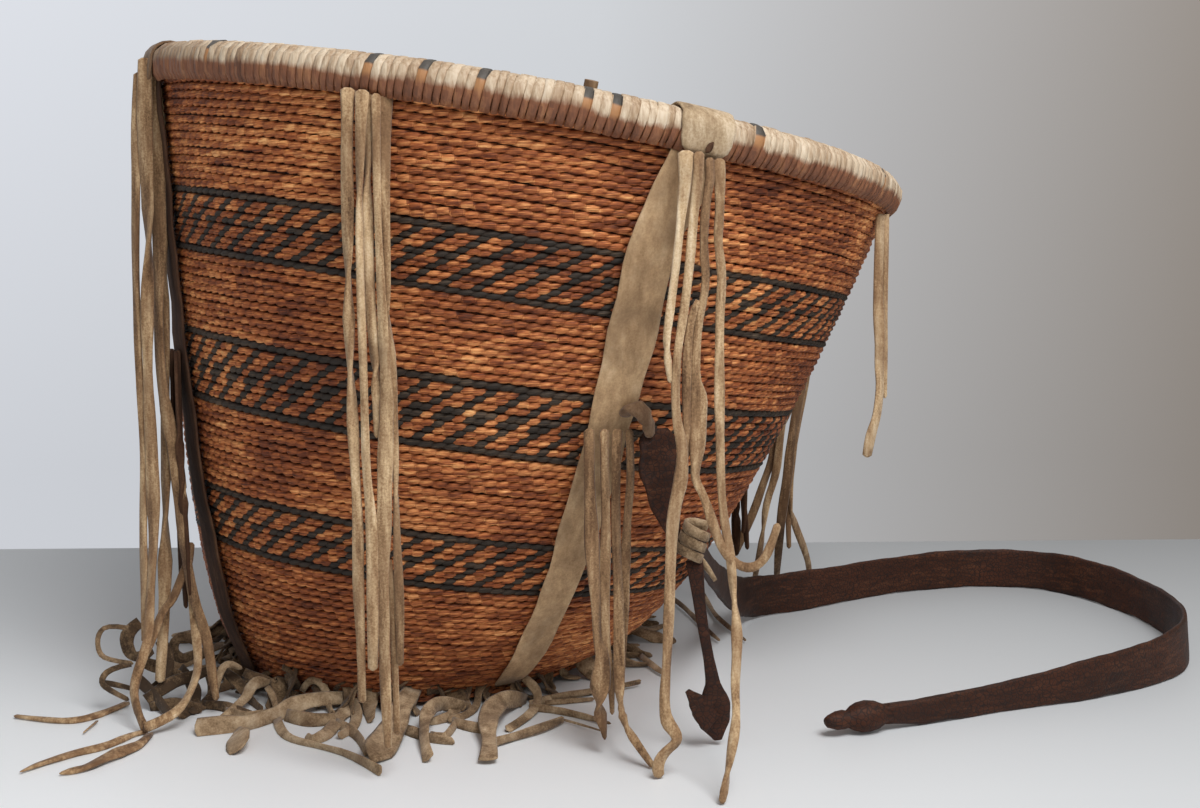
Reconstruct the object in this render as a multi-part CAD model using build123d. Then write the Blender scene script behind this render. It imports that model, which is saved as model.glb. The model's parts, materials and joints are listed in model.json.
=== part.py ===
from build123d import *
import math
import os

# Woven burden basket with hide strips, hanging hide thongs and a leather carrying strap.
# Millimetres. The origin is the centre of the hide patch that the basket stands on,
# +X to the right of the front, +Y to the back, +Z up.

# Woven wall
weave_height = 281.0
foot_radius = 86.0
mouth_radius = 195.5
wall_thickness = 7.0
floor_top = 8.0
clearance = 0.3

# The wall is lopsided: its rings lean to the right and back and drift sideways as they rise
mouth_lean_right = 10.0
foot_lean_right = 7.6
lean_back = 3.2
lean_rise = 22.0
mouth_shift_right = 68.0
shift_bow = 18.0
mouth_shift_front = 12.0

# Heights where one weft colour ends and the next begins, on the middle line of the wall
bottom_field_top = 0.233 * weave_height
band_3_top = 0.332 * weave_height
field_3_top = 0.474 * weave_height
band_2_top = 0.594 * weave_height
field_2_top = 0.720 * weave_height
band_1_top = 0.822 * weave_height
# Below the first zone's top the wall bends in most, so it is drawn through these heights too
lower_wall_heights = [16.0, 30.0, 47.0]
course_pitch = 17.0  # one modelled ridge stands for about five rows of weft
course_depth = 2.0
plain_top = 0.95 * weave_height  # the bunches between the strips hang against a plain rim above this

# Rim hoop and the splint bound round it
hoop_rod_radius = 5.6
binding_thickness = 1.6
skirt_depth = 5.0
skirt_thickness = 1.3
skirt_clearance = 0.8

# Two bent rods that stiffen the basket from inside, each from rim to rim across the floor
rib_radius = 3.0
rib_stand_up = 4.0
rib_knee_height = 30.0
rib_floor_share = 0.72
rib_bend_radius = 18.0
long_rib_angle = 10.0
cross_rib_angle = 100.0

# Hide: patch under the foot, four strips up the wall, four tabs over the rim
hide_thickness = 1.6
patch_radius = 90.0
strip_top_width = 21.0
strip_foot_width = 13.0
strip_top = 0.89 * weave_height
strip_foot = 10.0
strip_angles = {"front_right": 24.5, "back_right": 120.0, "back_left": 205.0, "front_left": -65.5}
# The front right strip runs beside its tab's middle, all the way down
strip_aside = {"front_right": -13.0, "back_right": 0.0, "back_left": 0.0, "front_left": 0.0}
tab_width = 26.0
tab_outer_drop = 12.0
tab_inner_drop = 14.0

# Thong bunches: each thong sways sideways, leans outwards and tapers a little as it falls
thong_width = 4.2
thong_thickness = 2.2
thong_gap = 0.4
thong_sway = 0.15
thong_lean = 0.7
thong_taper = 0.35
thong_length_spread = 0.07
thong_sections = 6
head_radius = 2.7
between_angles = {"front": -18.0, "right": 72.0, "back": 162.0, "left": -110.0}
between_drop = 10.0
between_lengths = {"front": 272.0, "right": 120.0, "back": 228.0, "left": 255.0}
between_fringe_count = {"front": 5, "right": 2, "back": 5, "left": 5}
rim_fringe_lengths = {"front_right": 254.0, "back_right": 190.0, "back_left": 227.0}
rim_fringe_count = 5
mid_height = 0.538 * weave_height
mid_fringe_lengths = {"front_right": 136.0, "back_right": 90.0, "back_left": 102.0, "front_left": 132.0}
mid_fringe_count = 4
mid_fringe_side = {"front_right": 3.5, "back_right": 0.0, "back_left": 0.0, "front_left": 0.0}
aside_lift = 0.04  # a strip set aside lies this share of its shift further off the wall at one edge

# Long thongs of the front left tab, which end on the table
resting_thong_runs = [84.0, 102.0, 70.0, 92.0, 60.0, 76.0]
resting_thong_spread = 13.0
resting_thong_bend = 16.0
table_gap = 0.2

# Cut fringe of the foot patch
foot_thong_count = 30
foot_thong_width = 5.0
foot_thong_reach = 44.0
foot_thong_short_reach = 15.0
foot_thong_rise = 20.0
foot_thong_rise_swing = 10.0
foot_thong_slant = 10.0
foot_thong_reach_swing = 0.2
foot_thong_crowded_angle = 30.0
# The arches begin outside the wall's lowest bulge; shares of the reach and the rise
foot_bulge_height = 30.0
foot_arch_gap = 4.0
foot_arch = [(0.12, 0.6), (0.35, 1.0), (0.6, 0.7), (0.68, 0.0), (1.0, 0.0)]

# Carrying strap: a leather band standing on its edge on the table
strap_width = 25.0
strap_thickness = 3.0
strap_route = [
    (197, 58), (237, 76), (294, 112), (351, 131), (400, 120), (425, 78), (437, 20),
    (430, -35), (403, -72), (361, -97), (321, -111), (285, -124),
]
# The strap hangs from a hide loop at the wall. Its end, tie, tail and lead are placed by their
# distance right of and behind the loop's outer end, and by their share of its height
loop_height = 0.546 * weave_height
loop_angle = 40.0
loop_radius = 4.0
loop_length = 9.7
# The rings lean, so the ring that passes the top of the loop is this much higher on the middle line
loop_lean_allowance = 10.0
strap_end_route = [(-1.5, 2.6, 0.97), (0, 0.6, 0.848), (2.5, -2.4, 0.73), (5.5, -4.8, 0.672)]
strap_end_widths = [12.0, 13.0, 10.0, 6.0]
strap_end_thickness = 4.0
tie_place = (12.0, -10.4, 0.658)
tie_radius = 6.8
tie_waist_radius = 6.0
tie_length = 18.0
tie_turns = 3
tail_route = [
    (12.5, -11.4, 0.597), (16.5, -9.4, 0.391), (21.5, -4.4, 0.196), (24.5, -0.4, 0.143), (18.5, 3.6, 0.02),
]
tail_widths = [9.0, 5.0, 5.0, 18.0, 7.0]
lead_route = [(14.5, -2.0, 0.632), (22.5, 49.6, 0.482), (31.5, 101.6, 0.358)]
lead_floor_route = [(176, -15, 38), (185, 22, 23)]
lead_widths = [8.0, 11.0, 15.0, 19.0, 23.0]

# Past the band the leather rolls up to the knot: thickness and height of each section
neck_length = 48.0
neck_sizes = [(strap_thickness, strap_width), (5.0, 19.0), (8.0, 11.0), (9.0, 9.0)]
knot_length = 30.0
knot_radius = 7.5
# Shares of the knot's radius and length
knot_profile = [(0, 0), (0.62, 0), (1.0, 0.28), (0.8, 0.55), (0.5, 0.62), (0.55, 0.9), (0.3, 1.0), (0, 1.0)]


def share(height):
    return height / weave_height


def outer_radius(height):
    return foot_radius + (mouth_radius - foot_radius) * math.sqrt(share(height))


def wall_stretch(height):
    """Level distance that one millimetre square to the wall takes up."""
    slope = 0.5 * (mouth_radius - foot_radius) / math.sqrt(height * weave_height)
    return math.hypot(1.0, slope)


def inner_radius(height):
    return outer_radius(height) - wall_thickness * wall_stretch(height)


def ring_plane(height):
    """Plane of the weft ring at this height on the wall's middle line."""
    rise = 1.0 - math.exp(-max(0.0, height - floor_top) / lean_rise)
    part = share(height)
    right = math.radians(foot_lean_right + (mouth_lean_right - foot_lean_right) * part) * rise
    back = math.radians(lean_back) * rise
    across = Vector(math.cos(right), 0, -math.sin(right))
    away = Vector(0, math.cos(back), -math.sin(back))
    shift_right = mouth_shift_right * part + shift_bow * part * (1.0 - part)
    centre = Vector(shift_right, -mouth_shift_front * part, height)
    return Plane(origin=centre, x_dir=across, z_dir=across.cross(away))


def ring_point(height, angle, radius, lift=0.0):
    """Point at an angle from the front, positive to the right, in the ring's own plane."""
    turn = math.radians(angle)
    local = Vector(radius * math.sin(turn), -radius * math.cos(turn), lift)
    return ring_plane(height).from_local_coords(local)


def plan_direction(point):
    flat = Vector(point.X, point.Y, 0)
    return flat.normalized()


def strip_direction(angle):
    """A strip keeps to the upright plane through the foot's centre and its place on the rim."""
    return plan_direction(ring_point(weave_height, angle, mouth_radius))


def ring_reach(direction, height, aside=0.0):
    """How far the ring at this height reaches in a level direction, from beside the foot's centre."""
    centre = ring_plane(height).origin - Vector(-direction.Y, direction.X, 0) * aside
    along = centre.X * direction.X + centre.Y * direction.Y
    square = centre.X ** 2 + centre.Y ** 2
    return along + math.sqrt(along ** 2 - square + outer_radius(height) ** 2)


def strip_ring_angle(angle, height, aside=0.0):
    direction = strip_direction(angle)
    centre = ring_plane(height).origin
    place = direction * ring_reach(direction, height, aside)
    place += Vector(-direction.Y, direction.X, 0) * aside
    return math.degrees(math.atan2(place.X - centre.X, centre.Y - place.Y))


def wall_zone(heights):
    outer = loft([ring_plane(h) * Circle(outer_radius(h)) for h in heights], ruled=True)
    inner = loft([ring_plane(h) * Circle(inner_radius(h)) for h in heights], ruled=True)
    return outer - inner


def ridged_zone(bottom, top):
    """One-colour field of the wall, with ridges along its courses of weft."""
    ridged_top = min(top, plain_top)
    ridges = max(1, round((ridged_top - bottom) / course_pitch))
    rings = []
    for i in range(2 * ridges + 1):
        h = bottom + (ridged_top - bottom) * i / (2 * ridges)
        sunk = course_depth * wall_stretch(h) if i % 2 else 0.0
        rings.append(ring_plane(h) * Circle(outer_radius(h) - sunk))
    if top > ridged_top:
        rings.append(ring_plane(top) * Circle(outer_radius(top)))
    inner = loft([ring_plane(h) * Circle(inner_radius(h)) for h in (bottom, top)], ruled=True)
    return loft(rings, ruled=True) - inner


def woven_base():
    bottom = hide_thickness + clearance
    return loft([Pos(0, 0, h) * Circle(outer_radius(h)) for h in (bottom, floor_top)], ruled=True)


hoop_ring_radius = mouth_radius - wall_thickness / 2
binding_radius = hoop_rod_radius + clearance + binding_thickness
hoop_lift = hoop_rod_radius + 2 * clearance


def rim_frame():
    """The rim's tilted plane, moved up to the middle of the hoop."""
    plane = ring_plane(weave_height)
    return plane.offset(hoop_lift)


def around_rim(profile, start=0.0, sweep=360.0):
    """Turns a profile, drawn as (out from the hoop, up), about the rim's own axis."""
    upright = Plane(origin=(0, 0, 0), x_dir=(1, 0, 0), z_dir=(0, -1, 0))
    face = upright * Pos(hoop_ring_radius, 0) * profile
    turned = revolve(face, axis=Axis.Z, revolution_arc=sweep)
    return rim_frame() * Rot(0, 0, start) * turned


def rim_hoop():
    return around_rim(Circle(hoop_rod_radius))


def wall_slab(half_width, drop):
    """Slab that follows the slope of the wall below the hoop."""
    slope = 0.5 * (mouth_radius - foot_radius) / weave_height
    top = slope * hoop_lift
    low = top - slope * drop
    return Polygon((top - half_width, 0), (low - half_width, -drop), (low + half_width, -drop),
                   (top + half_width, 0), align=None)


def rim_binding():
    half_slot = wall_thickness / 2 + skirt_clearance
    drop = hoop_lift + skirt_depth
    outside = Circle(binding_radius) + wall_slab(half_slot + skirt_thickness, drop)
    inside = Circle(hoop_rod_radius + clearance) + wall_slab(half_slot, 2 * drop)
    return around_rim(outside - inside)


def rim_tab(angle):
    """Hide folded over the bound rim, hanging down outside and inside the wall."""
    inner = binding_radius + clearance
    outer = inner + hide_thickness
    fold = Circle(outer) - Circle(inner) - Pos(0, -outer) * Rectangle(2 * outer, 2 * outer)
    outside = Pos(outer - hide_thickness / 2, -tab_outer_drop / 2) * Rectangle(hide_thickness, tab_outer_drop)
    inside = Pos(hide_thickness / 2 - outer, -tab_inner_drop / 2) * Rectangle(hide_thickness, tab_inner_drop)
    sweep = math.degrees(tab_width / (hoop_ring_radius + outer))
    return around_rim(fold + outside + inside, start=angle - 90 - sweep / 2, sweep=sweep)


def rib_rod(angle, floor_lift):
    """U-shaped rod that lies 0.3 mm inside the wall and crosses the floor."""
    heights = [field_2_top, bottom_field_top, rib_knee_height]
    stand_in = rib_radius + clearance
    top_radius = hoop_ring_radius - binding_radius - stand_in
    top_lift = hoop_lift + binding_radius + rib_stand_up
    floor = floor_top + stand_in + floor_lift

    def side(turn):
        points = [ring_point(weave_height, turn, top_radius, top_lift)]
        points += [ring_point(h, turn, inner_radius(h) - stand_in * wall_stretch(h)) for h in heights]
        low = ring_point(rib_knee_height, turn, inner_radius(rib_knee_height) * rib_floor_share)
        points.append(Vector(low.X, low.Y, floor))
        return points

    points = side(angle) + side(angle + 180)[::-1]
    path = FilletPolyline(*points, radius=rib_bend_radius)
    return sweep_round(path, rib_radius)


def sweep_round(path, radius):
    start = Plane(origin=path @ 0, z_dir=path % 0)
    return sweep(start * Circle(radius), path=path)


def strip(angle, aside):
    """Long hide strip, a ruled skin through flat sections that stand just off the weave."""
    heights = [strip_foot, *lower_wall_heights, bottom_field_top, band_3_top, field_3_top,
               band_2_top, field_2_top, band_1_top, strip_top]
    sections = []
    for h in heights:
        part = (h - strip_foot) / (strip_top - strip_foot)
        width = strip_foot_width + (strip_top_width - strip_foot_width) * math.sqrt(part)
        turn = strip_ring_angle(angle, h, aside)
        bulge = width ** 2 / (8 * outer_radius(h))
        radius = outer_radius(h) + clearance + bulge + hide_thickness / 2
        middle = ring_point(h, turn, radius)
        face = Plane(origin=middle, x_dir=side_direction(h, turn), z_dir=ring_plane(h).z_dir)
        sections.append(face * Rectangle(width, hide_thickness))
    return loft(sections, ruled=True)


def side_direction(height, angle):
    turn = math.radians(angle)
    plane = ring_plane(height)
    return plane.x_dir * math.cos(turn) + plane.y_dir * math.sin(turn)


def hang_frame(point, outward):
    """Frame of a bunch: X along its head, Y inwards, Z up."""
    return Plane(origin=point, x_dir=Vector(-outward.Y, outward.X, 0), z_dir=(0, 0, 1))


def hanging_thong(offset, length, index):
    """Flat thong that hangs from the head; the index sets where its sway and lean begin."""
    sections = []
    for step in range(thong_sections):
        part = step / (thong_sections - 1)
        sway = thong_sway * math.sin(2.1 * index + 3.0 * part) * part
        lean_out = thong_lean * math.sin(1.3 * index + 4.0 * part) * part
        taper = 1.0 - thong_taper * part ** 3
        place = Pos(offset + sway, lean_out, -length * part)
        sections.append(place * Rectangle(thong_width * taper, thong_thickness))
    return loft(sections, ruled=True)


def thong_bunch(count, length):
    pitch = thong_width + thong_gap
    bunch = Rot(0, 90, 0) * Cylinder(head_radius, count * pitch)
    for index in range(count):
        offset = (index - (count - 1) / 2) * pitch
        own_length = length * (1.0 - thong_length_spread * (1.0 + math.sin(2.4 * index)) / 2)
        bunch += hanging_thong(offset, own_length, index)
    return bunch


def clear_of_wall(point, outward):
    """Moves a bunch's head outwards until its thongs fall clear of the wall below it."""
    step = 0.0
    for height in (band_1_top, field_2_top, band_2_top, field_3_top):
        level = ring_plane(height)
        gap = outer_radius(height) + clearance + thong_thickness / 2 + thong_lean
        away = Vector(point.X - level.origin.X, point.Y - level.origin.Y, 0)
        along = away.dot(outward)
        square = away.dot(away) - gap ** 2
        if square < 0:
            step = max(step, math.sqrt(along ** 2 - square) - along)
    return point + outward * step


def between_place(name):
    """Head of a bunch that hangs from under the binding, between two strips."""
    angle = between_angles[name]
    height = weave_height - between_drop
    radius = outer_radius(height) + clearance + head_radius
    point = ring_point(height, angle, radius)
    outward = plan_direction(point - ring_plane(height).origin)
    return clear_of_wall(point, outward), outward


def rim_fringe_place(name):
    """Head of a bunch just under the outer edge of its rim tab."""
    angle = strip_angles[name]
    plane = rim_frame()
    turn = math.radians(angle)
    reach = hoop_ring_radius + binding_radius + clearance + hide_thickness / 2
    bar_slope = abs(side_direction(weave_height, angle).Z)
    bar_length = rim_fringe_count * (thong_width + thong_gap)
    drop = tab_outer_drop + clearance + head_radius + bar_slope * bar_length / 2
    point = plane.from_local_coords(Vector(reach * math.sin(turn), -reach * math.cos(turn), -drop))
    return point, plan_direction(point - plane.origin)


def mid_fringe_place(name):
    """Head of a bunch that lies on the strip, halfway down the wall."""
    angle = strip_ring_angle(strip_angles[name], mid_height, strip_aside[name])
    width = strip_top_width
    bulge = width ** 2 / (8 * outer_radius(mid_height))
    lift = bulge + aside_lift * abs(strip_aside[name])
    radius = outer_radius(mid_height) + 2 * clearance + lift + hide_thickness + head_radius
    point = ring_point(mid_height, angle, radius)
    outward = plan_direction(point - ring_plane(mid_height).origin)
    side = Vector(-outward.Y, outward.X, 0)
    return point + side * mid_fringe_side[name], outward


def hung_bunch(place, count, length):
    point, outward = place
    return hang_frame(point, outward) * thong_bunch(count, length)


def resting_fringe():
    """Bunch of the front left tab: it hangs to the table and fans out over it."""
    point, outward = rim_fringe_place("front_left")
    pitch = thong_width + thong_gap
    count = len(resting_thong_runs)
    bunch = Rot(0, 90, 0) * Cylinder(head_radius, count * pitch)
    fall = point.Z - thong_thickness / 2 - table_gap
    for index, run in enumerate(resting_thong_runs):
        place = index - (count - 1) / 2
        path = FilletPolyline((0, 0), (0, -fall), (run, -fall), radius=resting_thong_bend)
        thong = thong_along(path, thong_width)
        bunch += Pos(place * pitch, 0, 0) * Rot(0, 0, place * resting_thong_spread) * thong
    return hang_frame(point, outward) * bunch


def thong_along(path, width):
    """Thong that follows a path drawn in an upright plane, outwards and up."""
    upright = Plane(origin=(0, 0, 0), x_dir=(0, -1, 0), z_dir=(-1, 0, 0))
    start = Plane(origin=path @ 0, z_dir=path % 0, x_dir=(0, 0, 1))
    band = sweep(start * Rectangle(width, thong_thickness), path=path)
    return upright * band


def foot_patch():
    return extrude(Circle(patch_radius), amount=hide_thickness)


def foot_thong(index):
    """One curled thong of the patch's cut edge: up, over and back down to the table."""
    turn = 360.0 * index / foot_thong_count
    direction = Vector(math.sin(math.radians(turn)), -math.cos(math.radians(turn)), 0)
    beside = strip_direction(strip_angles["front_left"])
    crowded = direction.dot(beside) > math.cos(math.radians(foot_thong_crowded_angle))
    swing = foot_thong_reach_swing * (math.sin(2.3 * index) - 1.0)
    reach = foot_thong_short_reach if crowded else foot_thong_reach * (1.0 + swing)
    rise = foot_thong_rise + foot_thong_rise_swing * math.sin(1.7 * index)
    level = hide_thickness / 2
    slant = foot_thong_slant * math.sin(3.1 * index)
    start = patch_radius + clearance + foot_thong_width / 2 * math.sin(math.radians(foot_thong_slant))
    arch = ring_reach(direction, foot_bulge_height) + foot_arch_gap
    corners = [(start, level), (arch, level)]
    corners += [(arch + out * reach, level + up * rise) for out, up in foot_arch]
    outline = Polyline(*corners)
    sides = Plane(origin=(0, 0, 0), x_dir=(0, -1, 0), z_dir=(-1, 0, 0))
    half = foot_thong_width / 2
    band = extrude(sides * trace(outline, line_width=hide_thickness), amount=half, both=True)
    pivot = Pos(0, -start, 0) * Rot(0, 0, slant) * Pos(0, start, 0)
    return Rot(0, 0, turn) * pivot * band


def foot_fringe():
    return Compound(children=[foot_thong(index) for index in range(foot_thong_count)])


def corner_radii(points):
    """0.45 of the shorter run beside each corner, over the tangent of half the turn."""
    radii = []
    for before, corner, after in zip(points, points[1:], points[2:]):
        first = Vector(*corner) - Vector(*before)
        second = Vector(*after) - Vector(*corner)
        half_turn = math.radians(first.get_angle(second)) / 2
        radii.append(0.45 * min(first.length, second.length) / math.tan(half_turn))
    return radii


def strap_band():
    level = strap_width / 2 + table_gap
    points = [(x, y, level) for x, y in strap_route]
    radii = corner_radii(points)
    print("strap bend radii", [round(radius) for radius in radii])
    path = FilletPolyline(*points, radius=radii)
    start = Plane(origin=path @ 0, z_dir=path % 0, x_dir=(0, 0, 1))
    band = sweep(start * Rectangle(strap_width, strap_thickness), path=path)
    print("strap band length", round(path.length), "volume", round(band.volume),
          "section by length", round(path.length * strap_width * strap_thickness))
    return band


def strap_lead():
    """The strap falls from its tie to the table, widening as it goes."""
    level = strap_width / 2 + table_gap
    points = [strap_point(*point) for point in lead_route] + [Vector(*point) for point in lead_floor_route]
    points.append(Vector(*strap_route[0], level))
    after = Vector(*strap_route[1], level)
    widths = lead_widths + [strap_width]
    sections = []
    for index, point in enumerate(points):
        following = points[index + 1] if index + 1 < len(points) else after
        earlier = points[index - 1] if 0 < index < len(points) - 1 else point
        along = (following - earlier).normalized()
        flat = Vector(0, 0, 1).cross(along).normalized()
        plane = Plane(origin=point, x_dir=flat, z_dir=along)
        sections.append(plane * Rectangle(strap_thickness, widths[index]))
    return loft(sections, ruled=True)


def neck_frame():
    start = Vector(*strap_route[-1], 0)
    along = (start - Vector(*strap_route[-2], 0)).normalized()
    return start, start + along * neck_length, along


def strap_neck():
    start, end, along = neck_frame()
    side = Vector(0, 0, 1).cross(along)
    sections = []
    for index, (across, tall) in enumerate(neck_sizes):
        level = Vector(0, 0, tall / 2 + table_gap)
        point = start + (end - start) * (index / (len(neck_sizes) - 1)) + level
        sections.append(Plane(origin=point, x_dir=side, z_dir=along) * Rectangle(across, tall))
    return loft(sections, ruled=True)


def strap_knot():
    start, end, along = neck_frame()
    outline = [(knot_radius * out, knot_length * up) for out, up in knot_profile]
    profile = Plane.XZ * make_face(Polyline(*outline, close=True))
    knot = revolve(profile, axis=Axis.Z)
    point = end + Vector(0, 0, knot_radius + table_gap)
    return Plane(origin=point, z_dir=along) * knot


def strap_loop_ends():
    """Inner and outer end of the rolled hide loop that holds the strap's end."""
    turn = math.radians(loop_angle)
    direction = Vector(math.sin(turn), -math.cos(turn), 0)
    inner = ring_reach(direction, loop_height + loop_lean_allowance) + clearance
    lift = Vector(0, 0, loop_height)
    return direction * inner + lift, direction * (inner + loop_length) + lift


def strap_loop():
    inner_end, outer_end = strap_loop_ends()
    facing = (outer_end - inner_end).normalized()
    return Plane(origin=(inner_end + outer_end) * 0.5, z_dir=facing) * Cylinder(loop_radius, loop_length)


def strap_point(right, behind, height_share):
    outer_end = strap_loop_ends()[1]
    return Vector(outer_end.X + right, outer_end.Y + behind, loop_height * height_share)


def hanging_leather(route, widths, thickness):
    facing = strip_direction(strip_angles["front_right"])
    side = Vector(-facing.Y, facing.X, 0)
    sections = []
    for place, width in zip(route, widths):
        plane = Plane(origin=strap_point(*place), x_dir=side, z_dir=(0, 0, 1))
        sections.append(plane * Rectangle(width, thickness))
    return loft(sections, ruled=True)


def strap_tie():
    """Light hide thong wound round the strap where its end, tail and lead meet."""
    step = tie_length / tie_turns
    outline = [(0, -tie_length / 2)]
    for index in range(tie_turns):
        low = -tie_length / 2 + step * index
        outline += [(tie_waist_radius, low), (tie_radius, low + step / 2)]
    outline += [(tie_waist_radius, tie_length / 2), (0, tie_length / 2)]
    profile = Plane.XZ * make_face(Polyline(*outline, close=True))
    return Pos(strap_point(*tie_place)) * revolve(profile, axis=Axis.Z)


def model():
    nodes = {
        "foot_hide_patch": foot_patch(),
        "foot_hide_fringe": foot_fringe(),
        "woven_base": woven_base(),
        "bottom_field_weave": wall_zone([floor_top, *lower_wall_heights, bottom_field_top]),
        "band_3_weave": wall_zone([bottom_field_top, band_3_top]),
        "field_3_weave": ridged_zone(band_3_top, field_3_top),
        "band_2_weave": wall_zone([field_3_top, band_2_top]),
        "field_2_weave": ridged_zone(band_2_top, field_2_top),
        "band_1_weave": wall_zone([field_2_top, band_1_top]),
        "top_field_weave": ridged_zone(band_1_top, weave_height),
        "rim_hoop": rim_hoop(),
        "rim_binding": rim_binding(),
        "rib_rod_long": rib_rod(long_rib_angle, 0.0),
        "rib_rod_cross": rib_rod(cross_rib_angle, 2 * rib_radius + clearance),
        "rim_fringe_front_left": resting_fringe(),
        "strap_loop": strap_loop(),
        "strap_tie": strap_tie(),
        "strap_end": hanging_leather(strap_end_route, strap_end_widths, strap_end_thickness),
        "strap_tail": hanging_leather(tail_route, tail_widths, strap_thickness),
        "strap_lead": strap_lead(),
        "strap_band": strap_band(),
        "strap_neck": strap_neck(),
        "strap_knot": strap_knot(),
    }
    for name, angle in strip_angles.items():
        nodes["strip_" + name] = strip(angle, strip_aside[name])
        nodes["rim_tab_" + name] = rim_tab(angle)
        length = mid_fringe_lengths[name]
        nodes["mid_fringe_" + name] = hung_bunch(mid_fringe_place(name), mid_fringe_count, length)
    for name, length in rim_fringe_lengths.items():
        nodes["rim_fringe_" + name] = hung_bunch(rim_fringe_place(name), rim_fringe_count, length)
    for name, length in between_lengths.items():
        count = between_fringe_count[name]
        nodes["between_fringe_" + name] = hung_bunch(between_place(name), count, length)
    return nodes


if __name__ == "__main__":
    os.makedirs("parts", exist_ok=True)
    for node_name, solid in model().items():
        solid.label = node_name
        export_step(solid, f"parts/{node_name}.step")
        print(node_name, len(solid.solids()), round(solid.volume))
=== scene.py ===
# Burden basket: twined wall, bound rim, hide strips, tabs and fringes, leather carrying strap
import bpy, bmesh, json, math
import numpy as np
from mathutils import Matrix, Quaternion, Vector

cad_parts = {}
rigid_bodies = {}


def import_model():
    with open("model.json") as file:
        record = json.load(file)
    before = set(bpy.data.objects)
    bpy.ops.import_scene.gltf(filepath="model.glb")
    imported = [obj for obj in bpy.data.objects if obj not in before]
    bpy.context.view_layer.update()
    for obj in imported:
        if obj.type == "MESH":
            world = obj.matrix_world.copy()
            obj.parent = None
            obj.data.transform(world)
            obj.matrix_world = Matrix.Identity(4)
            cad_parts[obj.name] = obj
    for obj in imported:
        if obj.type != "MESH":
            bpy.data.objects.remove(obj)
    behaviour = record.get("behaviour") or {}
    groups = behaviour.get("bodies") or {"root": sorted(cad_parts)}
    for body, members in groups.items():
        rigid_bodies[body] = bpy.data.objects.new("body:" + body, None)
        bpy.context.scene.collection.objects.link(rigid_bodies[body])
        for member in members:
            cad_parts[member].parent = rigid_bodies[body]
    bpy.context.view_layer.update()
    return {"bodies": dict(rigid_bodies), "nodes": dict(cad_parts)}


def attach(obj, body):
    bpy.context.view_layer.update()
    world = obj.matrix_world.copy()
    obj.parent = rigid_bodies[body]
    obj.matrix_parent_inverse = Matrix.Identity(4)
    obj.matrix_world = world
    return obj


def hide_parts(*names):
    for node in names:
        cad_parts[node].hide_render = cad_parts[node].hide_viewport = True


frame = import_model()
mm = 0.001
rng = np.random.default_rng(7)

# camera
viewpoint = {"place": (0.1061, -0.8251, 0.2490), "down": 7.5, "roll": -0.48, "lens": 44.47}
cameraData = bpy.data.cameras.new("camera")
cameraData.lens = viewpoint["lens"]
cameraData.sensor_width = 36
camera = bpy.data.objects.new("camera", cameraData)
camera.matrix_world = (Matrix.Translation(viewpoint["place"])
                       @ Matrix.Rotation(math.radians(90 - viewpoint["down"]), 4, "X")
                       @ Matrix.Rotation(math.radians(viewpoint["roll"]), 4, "Z"))
bpy.context.collection.objects.link(camera)
bpy.context.scene.camera = camera
bpy.context.scene.view_settings.view_transform = "Standard"


# a line that follows given points softly, read from a NURBS spline, with values carried along it
def splineLine(points, values=(), steps=8, order=3):
    curve = bpy.data.curves.new("route", "CURVE")
    curve.dimensions = "3D"
    spline = curve.splines.new("NURBS")
    spline.points.add(len(points) - 1)
    for spot, point in zip(spline.points, points):
        spot.co = (*point, 1)
    spline.order_u = order
    spline.use_endpoint_u = True
    spline.resolution_u = steps
    holder = bpy.data.objects.new("route", curve)
    mesh = bpy.data.meshes.new_from_object(holder)
    line = [v.co.copy() for v in mesh.vertices]
    bpy.data.objects.remove(holder)
    bpy.data.curves.remove(curve)
    bpy.data.meshes.remove(mesh)
    # a control point pulls most strongly half a step past its own number
    pull = [0] + [i - 0.5 for i in range(1, len(points) - 1)] + [len(points) - 2]
    where = np.linspace(0, len(points) - 2, len(line))
    return line, [np.interp(where, pull, v) for v in values]


# a flat oval or squared section placed across a line
def acrossLine(centre, along, face, halfWidth, halfThickness, turn=0.0):
    along = along.normalized()
    flat = (face - along * face.dot(along)).normalized()
    if turn:
        flat = Quaternion(along, turn) @ flat
    wide = along.cross(flat)
    place = Matrix((wide * halfWidth, flat * halfThickness, along)).transposed().to_4x4()
    place.translation = centre
    return place


# a closed section drawn once, then extruded from station to station
def sweepSection(stations, sides=8, squareness=1.0, groove=0.0, caps=True, tone=None):
    bm = bmesh.new()
    ring = bmesh.ops.create_circle(bm, segments=sides, radius=1)["verts"]
    for i, v in enumerate(ring):
        v.co.x = math.copysign(abs(v.co.x) ** squareness, v.co.x)
        v.co.y = math.copysign(abs(v.co.y) ** squareness, v.co.y)
    if groove:
        top = max(ring, key=lambda v: v.co.y + 0.2 * v.co.x)
        top.co.y *= 1 - groove
    bmesh.ops.transform(bm, matrix=stations[0], verts=ring)
    edges = list({e for v in ring for e in v.link_edges})
    ends = [edges]
    for before, here in zip(stations, stations[1:]):
        out = bmesh.ops.extrude_edge_only(bm, edges=edges)["geom"]
        fresh = {g for g in out if isinstance(g, bmesh.types.BMVert)}
        edges = [g for g in out if isinstance(g, bmesh.types.BMEdge) and set(g.verts) <= fresh]
        bmesh.ops.transform(bm, matrix=here @ before.inverted(), verts=list(fresh))
    ends.append(edges)
    if caps:
        for rim in ends:
            bmesh.ops.contextual_create(bm, geom=rim)
    bmesh.ops.recalc_face_normals(bm, faces=bm.faces)
    if tone is not None:
        layer = bm.verts.layers.float.new("tone")
        for v in bm.verts:
            v[layer] = tone
    return bm


def pourInto(target, bm):
    mesh = bpy.data.meshes.new("part")
    bm.to_mesh(mesh)
    bm.free()
    target.from_mesh(mesh)
    bpy.data.meshes.remove(mesh)


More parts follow.
